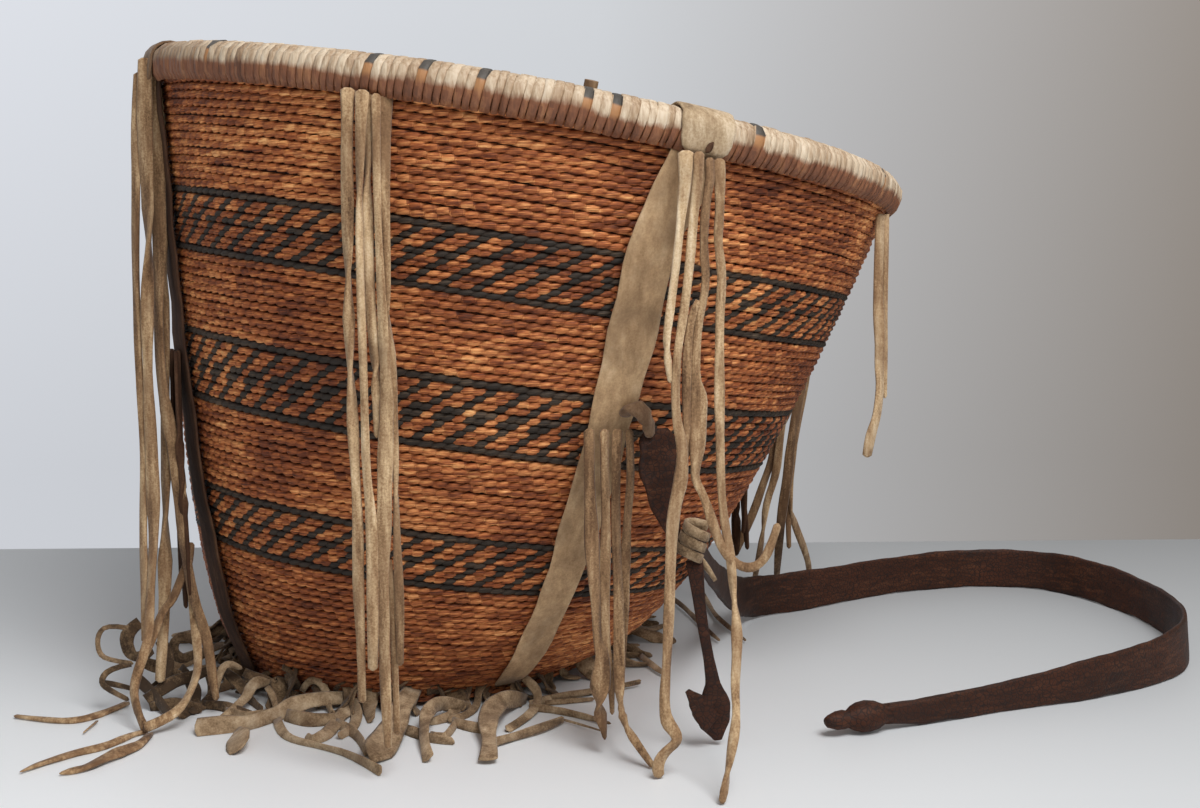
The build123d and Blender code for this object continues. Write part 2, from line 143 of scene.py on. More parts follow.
def makePiece(name, bm, material, body="root", nodes=(), smooth=True, tidy=True):
    mesh = bpy.data.meshes.new(name)
    bm.to_mesh(mesh)
    bm.free()
    mesh.materials.append(material)
    mesh.polygons.foreach_set("use_smooth", [smooth] * len(mesh.polygons))
    piece = bpy.data.objects.new(name, mesh)
    bpy.context.collection.objects.link(piece)
    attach(piece, body)
    if nodes:
        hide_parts(*nodes)
    return piece


# carrying strap: its route first, the line the strap is swept along
strapWork = {
    "route": [(150, -163.6, 97), (158, -112, 74), (167, -60, 55), (176, -15, 38), (185, 22, 23),
              (197, 58, 12.7), (237, 76, 12.7), (294, 112, 12.7), (351, 131, 12.7), (400, 120, 12.7),
              (425, 78, 12.7), (437, 20, 12.7), (430, -35, 12.7), (403, -72, 12.7), (361, -97, 12.7),
              (321, -111, 12.7), (285, -124, 12.7), (262, -132.3, 11), (240, -140.3, 8.2)],
    "width": [8, 11, 15, 19, 23, 25, 25, 25, 25, 25, 25, 25, 25, 25, 22.5, 17.5, 14, 12, 9],
    "drop": [0, 0, 0, 0, 0, 0, 0, 0, 0, 0, 0, 0, 0, 0, 1.1, 3.7, 5.4, 4.2, 0.4],
    "thickness": [3, 3, 3, 3, 3, 3, 3, 3, 3, 3, 3, 3, 3, 3, 3, 3, 3.2, 5, 8],
}


# shader helpers
def addNode(tree, kind, place=None, **inputs):
    node = tree.nodes.new(kind)
    for key, value in inputs.items():
        key = key.replace("_", " ")
        socket = node.inputs[int(key) if key.isdigit() else key]
        if isinstance(value, bpy.types.NodeSocket):
            tree.links.new(value, socket)
        else:
            socket.default_value = value
    return node


def mixColours(tree, factor, first, second, blend="MIX"):
    node = tree.nodes.new("ShaderNodeMix")
    node.data_type = "RGBA"
    node.blend_type = blend
    for socket, value in ((node.inputs[0], factor), (node.inputs[6], first), (node.inputs[7], second)):
        if isinstance(value, bpy.types.NodeSocket):
            tree.links.new(value, socket)
        elif isinstance(value, (tuple, list)):
            socket.default_value = (*value, 1)[:4]
        else:
            socket.default_value = value
    return node.outputs[2]


def doMath(tree, operation, first, second=0.5, clamp=False):
    node = tree.nodes.new("ShaderNodeMath")
    node.operation = operation
    node.use_clamp = clamp
    for socket, value in zip(node.inputs, (first, second)):
        if isinstance(value, bpy.types.NodeSocket):
            tree.links.new(value, socket)
        else:
            socket.default_value = value
    return node.outputs[0]


def colourRamp(tree, factor, stops):
    node = tree.nodes.new("ShaderNodeValToRGB")
    ramp = node.color_ramp
    while len(ramp.elements) < len(stops):
        ramp.elements.new(0.5)
    for element, (place, colour) in zip(ramp.elements, stops):
        element.position = place
        element.color = (*colour, 1)
    tree.links.new(factor, node.inputs[0])
    return node.outputs[0]


def newGroup(name, sockets, outputs):
    tree = bpy.data.node_groups.new(name, "ShaderNodeTree")
    for label, kind, value in sockets:
        socket = tree.interface.new_socket(name=label, in_out="INPUT", socket_type=kind)
        if value is not None:
            socket.default_value = value
    for label, kind in outputs:
        tree.interface.new_socket(name=label, in_out="OUTPUT", socket_type=kind)
    return tree, tree.nodes.new("NodeGroupInput"), tree.nodes.new("NodeGroupOutput")


# long fibres: fine noise drawn out along one direction of the piece
def buildFibreGroup():
    tree, source, result = newGroup(
        "fibreStreaks", [("Vector", "NodeSocketVector", None), ("Stretch", "NodeSocketVector", (80, 80, 900)),
                         ("Detail", "NodeSocketFloat", 3.0)], [("Value", "NodeSocketFloat")])
    mapping = addNode(tree, "ShaderNodeMapping", Vector=source.outputs[0], Scale=source.outputs[1])
    fine = addNode(tree, "ShaderNodeTexNoise", Vector=mapping.outputs[0], Scale=1.0, Detail=source.outputs[2],
                   Roughness=0.6)
    coarse = addNode(tree, "ShaderNodeTexNoise", Vector=mapping.outputs[0], Scale=0.27, Detail=1.0)
    both = doMath(tree, "ADD", doMath(tree, "MULTIPLY", fine.outputs[0], 0.65),
                  doMath(tree, "MULTIPLY", coarse.outputs[0], 0.35))
    spread = addNode(tree, "ShaderNodeMapRange", Value=both)
    spread.inputs[1].default_value, spread.inputs[2].default_value = 0.3, 0.7
    tree.links.new(spread.outputs[0], result.inputs[0])
    return tree


# soft stains and handling patches
def buildPatchGroup():
    tree, source, result = newGroup(
        "wornPatches", [("Vector", "NodeSocketVector", None), ("Scale", "NodeSocketFloat", 12.0),
                        ("From", "NodeSocketFloat", 0.4), ("To", "NodeSocketFloat", 0.65)],
        [("Mask", "NodeSocketFloat")])
    noise = addNode(tree, "ShaderNodeTexNoise", Vector=source.outputs[0], Scale=source.outputs[1], Detail=4.0,
                    Roughness=0.62, Distortion=0.4)
    spread = addNode(tree, "ShaderNodeMapRange", Value=noise.outputs[0])
    tree.links.new(source.outputs[2], spread.inputs[1])
    tree.links.new(source.outputs[3], spread.inputs[2])
    tree.links.new(spread.outputs[0], result.inputs[0])
    return tree


fibreGroup, patchGroup = buildFibreGroup(), buildPatchGroup()


def useGroup(tree, group, **inputs):
    node = tree.nodes.new("ShaderNodeGroup")
    node.node_tree = group
    for key, value in inputs.items():
        socket = node.inputs[key]
        if isinstance(value, bpy.types.NodeSocket):
            tree.links.new(value, socket)
        else:
            socket.default_value = value
    return node.outputs[0]


def startMaterial(name):
    material = bpy.data.materials.new(name)
    material.use_nodes = True
    tree = material.node_tree
    shader = tree.nodes["Principled BSDF"]
    place = tree.nodes.new("ShaderNodeTexCoord").outputs["Object"]
    return material, tree, shader, place


def addBump(tree, shader, height, strength, distance):
    bump = addNode(tree, "ShaderNodeBump", Height=height, Strength=strength, Distance=distance)
    tree.links.new(bump.outputs[0], shader.inputs["Normal"])


def readAttribute(tree, name):
    node = tree.nodes.new("ShaderNodeAttribute")
    node.attribute_name = name
    return node


# twined splint: each stitch carries its own tone, and dark stitches their own dye
splintLook = {
    "pale": [(0.0, (0.045, 0.011, 0.004)), (0.28, (0.165, 0.043, 0.014)), (0.56, (0.41, 0.130, 0.041)),
             (0.8, (0.74, 0.32, 0.115)), (1.0, (1.0, 0.56, 0.23))],
    "dark": [(0.0, (0.011, 0.008, 0.006)), (0.6, (0.036, 0.025, 0.017)), (1.0, (0.12, 0.08, 0.05))],
    # painted shade: the wall's colour is multiplied darker towards the left, between these two x positions in metres
    "leftShadeFrom": -0.075, "leftShadeTo": -0.165,
    "creviceShade": (0.022, 0.007, 0.004), "roughness": 0.62, "bump": 0.35,
}


def splintMaterial():
    material, tree, shader, place = startMaterial("twined_splint")
    stitch = addNode(tree, "ShaderNodeSeparateXYZ", Vector=readAttribute(tree, "stitch").outputs["Vector"])
    depth = readAttribute(tree, "depth").outputs["Fac"]
    fibres = useGroup(tree, fibreGroup, Vector=place, Stretch=(170, 170, 1900), Detail=4.0)
    patches = useGroup(tree, patchGroup, Vector=place, Scale=14.0, From=0.35, To=0.7)
    tone = doMath(tree, "ADD", doMath(tree, "MULTIPLY", stitch.outputs[1], 0.36),
                  doMath(tree, "MULTIPLY", fibres, 0.96))
    tone = doMath(tree, "ADD", tone, doMath(tree, "MULTIPLY", doMath(tree, "SUBTRACT", patches, 0.89), 0.34))
    pale = colourRamp(tree, tone, splintLook["pale"])
    reddened = mixColours(tree, stitch.outputs[2], (1, 1, 1), (1.0, 0.86, 0.76))
    pale = mixColours(tree, 1.0, pale, reddened, "MULTIPLY")
    dark = colourRamp(tree, tone, splintLook["dark"])
    colour = mixColours(tree, stitch.outputs[0], pale, dark)
    # painted shade: where the per-vertex depth is below one (the strand's turns into the wall, and the core sheets) the
    # colour goes towards the dark crevice shade
    colour = mixColours(tree, doMath(tree, "SUBTRACT", 1.0, depth, True), colour, splintLook["creviceShade"])
    # painted shade on the left of the wall: x from -0.075 m to -0.165 m multiplies the colour from 1.0 down to 0.68
    across = addNode(tree, "ShaderNodeMapRange", Value=addNode(tree, "ShaderNodeSeparateXYZ", Vector=place).outputs[0])
    for socket, value in zip(list(across.inputs)[1:5], (splintLook["leftShadeTo"], splintLook["leftShadeFrom"], 0.68, 1.0)):
        socket.default_value = value
    colour = mixColours(tree, 1.0, colour, across.outputs[0], "MULTIPLY")
    tree.links.new(colour, shader.inputs["Base Color"])
    shader.inputs["Roughness"].default_value = splintLook["roughness"]
    shader.inputs["Specular IOR Level"].default_value = 0.3
    addBump(tree, shader, fibres, splintLook["bump"], 0.0006)
    return material


# pale splint bound over the hoop, rubbed cream on top and still red-brown below, the lower part darkened partly as
# painted shade on the underside
bindingLook = {
    "cream": [(0.0, (0.12, 0.06, 0.027)), (0.33, (0.40, 0.27, 0.165)), (0.6, (0.66, 0.53, 0.38)),
              (1.0, (0.90, 0.80, 0.66))],
    "brown": [(0.0, (0.07, 0.024, 0.010)), (0.5, (0.22, 0.080, 0.034)), (1.0, (0.46, 0.21, 0.09))],
    "leftDarker": (0.20, 0.105, 0.052), "orange": (0.40, 0.19, 0.075),
    "dark": [(0.0, (0.03, 0.025, 0.02)), (1.0, (0.10, 0.085, 0.07))], "roughness": 0.6,
}


def bindingMaterial():
    material, tree, shader, place = startMaterial("bound_splint")
    stitch = addNode(tree, "ShaderNodeSeparateXYZ", Vector=readAttribute(tree, "stitch").outputs["Vector"])
    low = readAttribute(tree, "low").outputs["Fac"]
    fibres = useGroup(tree, fibreGroup, Vector=place, Stretch=(900, 900, 160), Detail=3.0)
    patches = useGroup(tree, patchGroup, Vector=place, Scale=26.0, From=0.35, To=0.7)
    tone = doMath(tree, "ADD", doMath(tree, "MULTIPLY", stitch.outputs[1], 0.5),
                  doMath(tree, "MULTIPLY", fibres, 0.5))
    cream = colourRamp(tree, tone, bindingLook["cream"])
    cream = mixColours(tree, doMath(tree, "MULTIPLY", patches, 0.35), cream, (0.36, 0.24, 0.14))
    brown = colourRamp(tree, tone, bindingLook["brown"])
    dark = colourRamp(tree, tone, bindingLook["dark"])
    across = addNode(tree, "ShaderNodeSeparateXYZ", Vector=place)
    # patchy darker brown towards the left of the rim, from x -0.06 m to -0.11 m
    leftDarker = addNode(tree, "ShaderNodeMapRange", Value=across.outputs[0])
    leftDarker.inputs[1].default_value, leftDarker.inputs[2].default_value = -0.060, -0.110
    leftDarker = doMath(tree, "MULTIPLY", leftDarker.outputs[0], doMath(tree, "ADD", patches, 0.45), True)
    cream = mixColours(tree, leftDarker, cream, bindingLook["leftDarker"])
    dyed = addNode(tree, "ShaderNodeMapRange", Value=low)
    dyed.inputs[1].default_value, dyed.inputs[2].default_value = 0.13, 0.2
    dark = mixColours(tree, dyed.outputs[0], dark, bindingLook["orange"])
    upper = mixColours(tree, stitch.outputs[0], cream, dark)
    # the swap to brown follows the place round the section: real red-brown colour below, also darkened there as painted
    # shade of the underside
    edge = doMath(tree, "ADD", low, doMath(tree, "MULTIPLY", doMath(tree, "SUBTRACT", patches, 0.5), 0.35))
    edge = doMath(tree, "ADD", edge, doMath(tree, "MULTIPLY", doMath(tree, "SUBTRACT", tone, 0.5), -0.25))
    swap = addNode(tree, "ShaderNodeMapRange", Value=edge)
    swap.inputs[1].default_value, swap.inputs[2].default_value = 0.38, 0.66
    tree.links.new(mixColours(tree, swap.outputs[0], upper, brown), shader.inputs["Base Color"])
    shader.inputs["Roughness"].default_value = bindingLook["roughness"]
    addBump(tree, shader, fibres, 0.4, 0.0005)
    return material


# soft tanned hide, with grime in the low places and paler rubbed faces
def hideMaterial(name, shades, grime, grimeFrom=0.42, streak=(260, 260, 40), roughness=0.88, bump=0.35, sheen=0.12):
    material, tree, shader, place = startMaterial(name)
    nap = addNode(tree, "ShaderNodeTexNoise", Vector=place, Scale=1000.0, Detail=3.0, Roughness=0.7).outputs[0]
    streaks = useGroup(tree, fibreGroup, Vector=place, Stretch=streak, Detail=3.0)
    patches = useGroup(tree, patchGroup, Vector=place, Scale=38.0, From=grimeFrom, To=0.72)
    tone = doMath(tree, "ADD", doMath(tree, "MULTIPLY", nap, 0.85), doMath(tree, "MULTIPLY", streaks, 0.8))
    tone = doMath(tree, "SUBTRACT", tone, 0.325)
    tone = doMath(tree, "ADD", tone, readAttribute(tree, "tone").outputs["Fac"])
    colour = colourRamp(tree, tone, shades)
    colour = mixColours(tree, doMath(tree, "MULTIPLY", patches, 0.75), colour, grime)
    tree.links.new(colour, shader.inputs["Base Color"])
    shader.inputs["Roughness"].default_value = roughness
    shader.inputs["Sheen Weight"].default_value = sheen
    shader.inputs["Specular IOR Level"].default_value = 0.25
    addBump(tree, shader, tone, bump, 0.0006)
    return material


# dark strap leather, greased and dry by turns, with fine cracks
def strapMaterial():
    material, tree, shader, place = startMaterial("worn_strap_leather")
    patches = useGroup(tree, patchGroup, Vector=place, Scale=24.0, From=0.35, To=0.7)
    scuffs = useGroup(tree, fibreGroup, Vector=place, Stretch=(90, 90, 500), Detail=4.0)
    cracks = addNode(tree, "ShaderNodeTexVoronoi", Vector=place, Scale=420.0)
    cracks.feature = "DISTANCE_TO_EDGE"
    crack = addNode(tree, "ShaderNodeMapRange", Value=cracks.outputs[0])
    crack.inputs[1].default_value, crack.inputs[2].default_value = 0.0, 0.12
    colour = colourRamp(tree, scuffs, [(0.0, (0.015, 0.0055, 0.003)), (0.5, (0.044, 0.015, 0.007)),
                                       (1.0, (0.14, 0.052, 0.023))])
    greased = useGroup(tree, patchGroup, Vector=place, Scale=9.0, From=0.45, To=0.65)
    colour = mixColours(tree, doMath(tree, "MULTIPLY", greased, 0.6), colour, (0.014, 0.006, 0.004))
    colour = mixColours(tree, doMath(tree, "MULTIPLY", patches, 0.55), colour, (0.085, 0.027, 0.013))
    colour = mixColours(tree, doMath(tree, "SUBTRACT", 1.0, crack.outputs[0], True), colour, (0.018, 0.010, 0.008))
    tree.links.new(colour, shader.inputs["Base Color"])
    rough = doMath(tree, "ADD", doMath(tree, "MULTIPLY", patches, 0.2), 0.5)
    tree.links.new(rough, shader.inputs["Roughness"])
    shader.inputs["Specular IOR Level"].default_value = 0.22
    addBump(tree, shader, doMath(tree, "ADD", crack.outputs[0], scuffs), 0.3, 0.0005)
    return material


def rodMaterial():
    material, tree, shader, place = startMaterial("peeled_rod")
    fibres = useGroup(tree, fibreGroup, Vector=place, Stretch=(420, 420, 60), Detail=4.0)
    patches = useGroup(tree, patchGroup, Vector=place, Scale=30.0, From=0.4, To=0.7)
    colour = colourRamp(tree, fibres, [(0.0, (0.11, 0.058, 0.03)), (0.5, (0.24, 0.14, 0.07)),
                                       (1.0, (0.38, 0.25, 0.14))])
    colour = mixColours(tree, doMath(tree, "MULTIPLY", patches, 0.5), colour, (0.10, 0.05, 0.03))
    tree.links.new(colour, shader.inputs["Base Color"])
    shader.inputs["Roughness"].default_value = 0.6
    addBump(tree, shader, fibres, 0.3, 0.0005)
    return material


splint, boundSplint, strapLeather, peeledRod = splintMaterial(), bindingMaterial(), strapMaterial(), rodMaterial()
stripHide = hideMaterial("strip_hide", [(0.0, (0.31, 0.185, 0.092)), (0.5, (0.55, 0.355, 0.19)),
                                        (1.0, (0.74, 0.53, 0.32))], (0.22, 0.135, 0.072), 0.42)
thongHide = hideMaterial("thong_hide", [(0.0, (0.11, 0.056, 0.026)), (0.3, (0.32, 0.19, 0.095)),
                                        (0.6, (0.60, 0.42, 0.24)), (1.0, (0.86, 0.70, 0.48))],
                         (0.22, 0.12, 0.06), 0.42)
tabHide = hideMaterial("tab_hide", [(0.0, (0.17, 0.105, 0.052)), (0.45, (0.42, 0.30, 0.18)),
                                    (1.0, (0.74, 0.60, 0.43))], (0.21, 0.125, 0.066), 0.38)
footHide = hideMaterial("foot_hide", [(0.0, (0.055, 0.033, 0.018)), (0.3, (0.22, 0.14, 0.075)),
                                      (0.6, (0.44, 0.31, 0.185)), (1.0, (0.70, 0.55, 0.38))],
                        (0.14, 0.082, 0.045), 0.42, (130, 130, 130))
# dark hide: painted shade on the two left strips and on the tab slits; also used for two mid-wall bunches
darkShadeHide = hideMaterial("dark_shade_hide", [(0.0, (0.028, 0.012, 0.006)), (0.5, (0.072, 0.032, 0.016)),
                                      (1.0, (0.17, 0.088, 0.045))], (0.032, 0.015, 0.009), 0.42, sheen=0.0)
loopHide = hideMaterial("loop_hide", [(0.0, (0.07, 0.035, 0.018)), (0.5, (0.20, 0.115, 0.06)),
                                      (1.0, (0.40, 0.26, 0.15))], (0.10, 0.05, 0.028), 0.42)
print("materials made")

# the wall: rings that lean and drift to the right as they rise
basket = {"height": 281, "footRadius": 86, "mouthRadius": 195.5, "wall": 7, "floorTop": 8,
          "mouthLean": 10, "footLean": 7.6, "leanBack": 3.2, "leanRise": 22,
          "shiftRight": 68, "shiftBow": 18, "shiftFront": 12}


def wallRadius(h):
    return basket["footRadius"] + (basket["mouthRadius"] - basket["footRadius"]) * math.sqrt(h / basket["height"])


def wallSlope(h):
    return 0.5 * (basket["mouthRadius"] - basket["footRadius"]) / math.sqrt(h * basket["height"])


def wallStretch(h):
    return math.hypot(1, wallSlope(h))


# ring frame in millimetres: x across, y away, z up the wall's axis
def ringFrame(h):
    rise = 1 - math.exp(-max(0.0, h - basket["floorTop"]) / basket["leanRise"])
    part = h / basket["height"]
    right = math.radians(basket["footLean"] + (basket["mouthLean"] - basket["footLean"]) * part) * rise
    back = math.radians(basket["leanBack"]) * rise
    across = Vector((math.cos(right), 0, -math.sin(right)))
    up = across.cross(Vector((0, math.cos(back), -math.sin(back)))).normalized()
    place = Matrix((across, up.cross(across), up)).transposed().to_4x4()
    place.translation = (basket["shiftRight"] * part + basket["shiftBow"] * part * (1 - part),
                         -basket["shiftFront"] * part, h)
    return place


def ringPoint(h, angle, radius, lift=0.0):
    a = math.radians(angle)
    return ringFrame(h) @ Vector((radius * math.sin(a), -radius * math.cos(a), lift))


toMetres = Matrix.Scale(mm, 4)

# twined rows, from the floor to the rim: top of each zone, rows in it, and whether it is a patterned band
weave = {
    "zones": [("bottom_field_weave", 8.0, 65.5, 19, False), ("band_3_weave", 65.5, 93.3, 9, True),
              ("field_3_weave", 93.3, 133.2, 11, False), ("band_2_weave", 133.2, 166.9, 10, True),
              ("field_2_weave", 166.9, 202.3, 10, False), ("band_1_weave", 202.3, 231.0, 10, True),
              ("top_field_weave", 231.0, 279.6, 14, False)],
    "stitchLow": 5.8, "stitchHigh": 6.2, "depth": 1.5, "slant": 1.2, "thick": 1.5, "cover": 0.50,
    "diagonal": 0.64, "bandRepeat": 14.6, "bandDiagonal": 0.82, "longer": 0.25,
    "narrowRows": {"band_1_weave": (5,), "band_2_weave": (4, 5), "band_3_weave": (4,)},
}
# one turn of a weft strand, in steps along the row: place along, out, up, width, and how far it is lit
turnShape = ((-1.0, -1.0, 0.0, 0.8, 1.0), (-0.70, 0.1, -0.80, 0.60, 0.34), (-0.36, 0.85, -0.36, 0.92, 0.98),
             (0.0, 1.0, 0.0, 1.0, 1.0), (0.36, 0.85, 0.36, 0.92, 0.97), (0.70, 0.1, 0.80, 0.60, 0.34),
             (1.0, -1.0, 0.0, 0.8, 1.0))


# one full turn of a weft strand: outside over one stitch, then inside over half of the next on each side
def weftTurn(bm, radius, step, normal, rise, halfWidth, longer, offset, mark, layers):
    def spot(shape):
        along, away, up = shape[:3]
        turn = (along * (1 + longer * (1 - abs(along))) + offset) * step
        out = normal * (weave["depth"] * away) + rise * (weave["slant"] * up)
        r = radius + out.x
        return Vector((r * math.sin(turn), -r * math.cos(turn), out.y)), turn

    before, after = turnShape[-2], turnShape[1]
    turns = [(before[0] - 2, *before[1:])] + list(turnShape) + [(after[0] + 2, *after[1:])]
    places = []
    for previous, shape, following in zip(turns, turns[1:], turns[2:]):
        here, turn = spot(shape)
        along = spot(following)[0] - spot(previous)[0]
        face = Vector((normal.x * math.sin(turn), -normal.x * math.cos(turn), normal.y))
        places.append(acrossLine(here, along, face, halfWidth * shape[3], weave["thick"] * (0.7 + 0.3 * shape[3])))
    sideLayer, darkLayer, shadeLayer = layers
    ring = bmesh.ops.create_circle(bm, segments=6, radius=1, matrix=places[0])["verts"]
    edges = list({e for v in ring for e in v.link_edges})
    # per-vertex painted shade share: 0.75 at the turn's start, then how far each station is lit
    for v in ring:
        v[shadeLayer] = 0.75
    for i, (before, here) in enumerate(zip(places, places[1:])):
        out = bmesh.ops.extrude_edge_only(bm, edges=edges)["geom"]
        fresh = {g for g in out if isinstance(g, bmesh.types.BMVert)}
        edges = [g for g in out if isinstance(g, bmesh.types.BMEdge) and set(g.verts) <= fresh]
        bmesh.ops.transform(bm, matrix=here @ before.inverted(), verts=list(fresh))
        for v in fresh:
            v[shadeLayer] = turnShape[i + 1][4]
        for g in out:
            if isinstance(g, bmesh.types.BMFace):
                g[sideLayer] = 1 if 0 < i < 5 else 2
                g[darkLayer] = mark


# marks: which strands of the row's repeat are dark
def twinedRow(target, radius, count, normal, rise, halfWidth, place, marks, shift, rowNumber):
    bm = bmesh.new()
    layers = (bm.faces.layers.int.new("side"), bm.faces.layers.int.new("dark"),
              bm.verts.layers.float.new("depth"))
    rowLayer, stitchLayer = bm.faces.layers.int.new("row"), bm.faces.layers.int.new("number")
    step = 2 * math.pi / count
    for k, mark in enumerate(marks):
        weftTurn(bm, radius, step, normal, rise, halfWidth, weave["longer"] if len(marks) > 1 else 0, k, mark, layers)
    copies, between = count // len(marks), len(marks) * step
    bmesh.ops.spin(bm, geom=list(bm.verts) + list(bm.edges) + list(bm.faces), axis=(0, 0, 1), cent=(0, 0, 0),
                   angle=between * (copies - 1), steps=copies - 1, use_duplicate=True)
    bmesh.ops.remove_doubles(bm, verts=bm.verts, dist=0.02)
    for face in bm.faces:
        c = face.calc_center_median()
        face[stitchLayer] = int(round(math.atan2(c.x, -c.y) / step)) % count
        face[rowLayer] = rowNumber
    bmesh.ops.recalc_face_normals(bm, faces=bm.faces)
    bmesh.ops.rotate(bm, verts=bm.verts, cent=(0, 0, 0), matrix=Matrix.Rotation(shift * step, 3, "Z"))
    # the rows wander a little, and more softly than the stitches do
    swing = rng.uniform(0, 6.28, 4)
    for v in bm.verts:
        a = math.atan2(v.co.x, -v.co.y)
        lift = 0.22 * math.sin(3 * a + swing[0]) + 0.16 * math.sin(11 * a + swing[1]) + 0.12 * math.sin(29 * a + swing[2])
        puff = 0.16 * math.sin(17 * a + swing[3]) + 0.10 * math.sin(41 * a + swing[0])
        radial = Vector((math.sin(a), -math.cos(a), 0))
        v.co += radial * (rise.x * lift + normal.x * puff) + Vector((0, 0, rise.y * lift + normal.y * puff))
    bmesh.ops.transform(bm, matrix=toMetres @ place, verts=bm.verts)
    pourInto(target, bm)


# every stitch gets its own tone and warmth, written per face
def toneStitches(mesh, tones):
    count = len(mesh.polygons)
    read = {}
    for name in ("side", "dark", "row", "number"):
        read[name] = np.zeros(count, dtype=np.int32)
        mesh.attributes[name].data.foreach_get("value", read[name])
    strand = read["number"] * 2 + (read["side"] == 2)
    tone = tones[read["row"] % tones.shape[0], strand % tones.shape[1]]
    warmth = tones[(read["row"] * 7 + 3) % tones.shape[0], (strand * 5 + 11) % tones.shape[1]]
    values = np.stack([read["dark"].astype(float), tone, warmth], axis=1)
    layer = mesh.attributes.new("stitch", "FLOAT_VECTOR", "FACE")
    layer.data.foreach_set("vector", values.astype(np.float32).ravel())
    for name in ("side", "dark", "row", "number"):
        mesh.attributes.remove(mesh.attributes[name])


tones = np.clip(rng.normal(0.5, 0.17, (97, 499)), 0, 1)
shell = {"sides": 120, "thickness": 0.5}


# dark layer at the warps, in the middle of the wall, seen only between stitches: painted shade, its depth left at zero
# so it takes the crevice shade colour
def shadeCoreShell(bm, heights, inset):
    layers = bm.verts.layers.float.get("depth"), bm.faces.layers.int.get("side")
    loops = []
    for h in heights:
        radius = wallRadius(h) - inset * wallStretch(h)
        ring = bmesh.ops.create_circle(bm, segments=shell["sides"], radius=radius,
                                       matrix=toMetres @ ringFrame(h))["verts"]
        loops.append(list({e for v in ring for e in v.link_edges}))
    for low, high in zip(loops, loops[1:]):
        bmesh.ops.bridge_loops(bm, edges=low + high)


rowNumber = 0
slide = 0.0
weavePieces = {}
for zone, bottom, top, rows, patterned in weave["zones"]:
    cloth = bmesh.new()
    for name in ("side", "dark", "row", "number"):
        cloth.faces.layers.int.new(name)
    cloth.verts.layers.float.new("depth")
    samples = np.linspace(bottom, top, 200)
    lengths = np.concatenate([[0], np.cumsum([wallStretch(h) for h in (samples[1:] + samples[:-1]) / 2])])
    lengths *= (top - bottom) / 199
    for i in range(rows):
        h = float(np.interp((i + 0.5) / rows * lengths[-1], lengths, samples))
        rowNumber += 1
        stretch, slope = wallStretch(h), wallSlope(h)
        radius = wallRadius(h) - basket["wall"] / 2 * stretch
        pitch = weave["stitchLow"] + (weave["stitchHigh"] - weave["stitchLow"]) * h / basket["height"]
        count = 2 * round(math.pi * radius / pitch)
        marks = (1,) if patterned else (0,)
        slide += weave["diagonal"] + float(rng.uniform(-0.12, 0.12))
        if patterned and 0 < i < rows - 1:
            marks = (0, 1, 1) if i in weave["narrowRows"][zone] else (0, 0, 1)
            count = 3 * round(2 * math.pi * wallRadius((bottom + top) / 2) / weave["bandRepeat"])
            slide = weave["bandDiagonal"] * i
        twinedRow(cloth, radius, count, Vector((1, -slope)) / stretch, Vector((slope, 1)) / stretch,
                  lengths[-1] / rows * weave["cover"], ringFrame(h), marks, slide, rowNumber)
    # a painted shade sheet behind this zone's stitches
    core = bmesh.new()
    core.verts.layers.float.new("depth")
    steps = 6 if zone.startswith("bottom") else 3
    shadeCoreShell(core, [bottom + (top - bottom) * k / steps for k in range(steps + 1)], basket["wall"] / 2)
    bmesh.ops.recalc_face_normals(core, faces=core.faces)
    pourInto(cloth, core)
    piece = makePiece(zone.replace("_weave", "_twining"), cloth, splint, nodes=[zone])
    toneStitches(piece.data, tones)
    weavePieces[zone] = piece
    print(zone, "twined", len(piece.data.polygons))

# the floor: flat twined rings round a small start
floorCloth = bmesh.new()
for name in ("side", "dark", "row", "number"):
    floorCloth.faces.layers.int.new(name)
floorCloth.verts.layers.float.new("depth")
for i in range(28):
    radius = 7.5 + i * 3.5
    rowNumber += 1
    twinedRow(floorCloth, radius, max(8, 2 * round(math.pi * radius / 6.4)), Vector((0, -1)), Vector((1, 0)),
              3.5 * weave["cover"], Matrix.Translation((0, 0, 5.2)), (0,), i * 0.64, rowNumber)
# dark disc under the floor rows: painted shade between the stitches, in the crevice shade colour
floorCore = bmesh.new()
floorCore.verts.layers.float.new("depth")
bmesh.ops.create_circle(floorCore, segments=64, radius=104 * mm, cap_ends=True,
                        matrix=Matrix.Translation((0, 0, 5.2 * mm)))
pourInto(floorCloth, floorCore)
floorPiece = makePiece("base_twining", floorCloth, splint, nodes=["woven_base"])
toneStitches(floorPiece.data, tones)
print("floor twined")

# rim: splints bound side by side over the hoop
hoop = {"radius": 192, "lift": 6.2, "count": 312}
binding = {
    "profile": [(186.4, -2.6), (184.7, 1.0), (183.9, 4.8), (184.6, 8.8), (187.9, 11.9), (192.2, 12.8),
                (196.6, 11.5), (199.5, 8.2), (199.9, 4.2), (199.2, 1.0), (198.4, -1.8), (196.0, -4.8)],
    "halfWidth": 2.09, "halfThickness": 0.6, "slant": 0.022,
}
rimFrame = ringFrame(basket["height"])


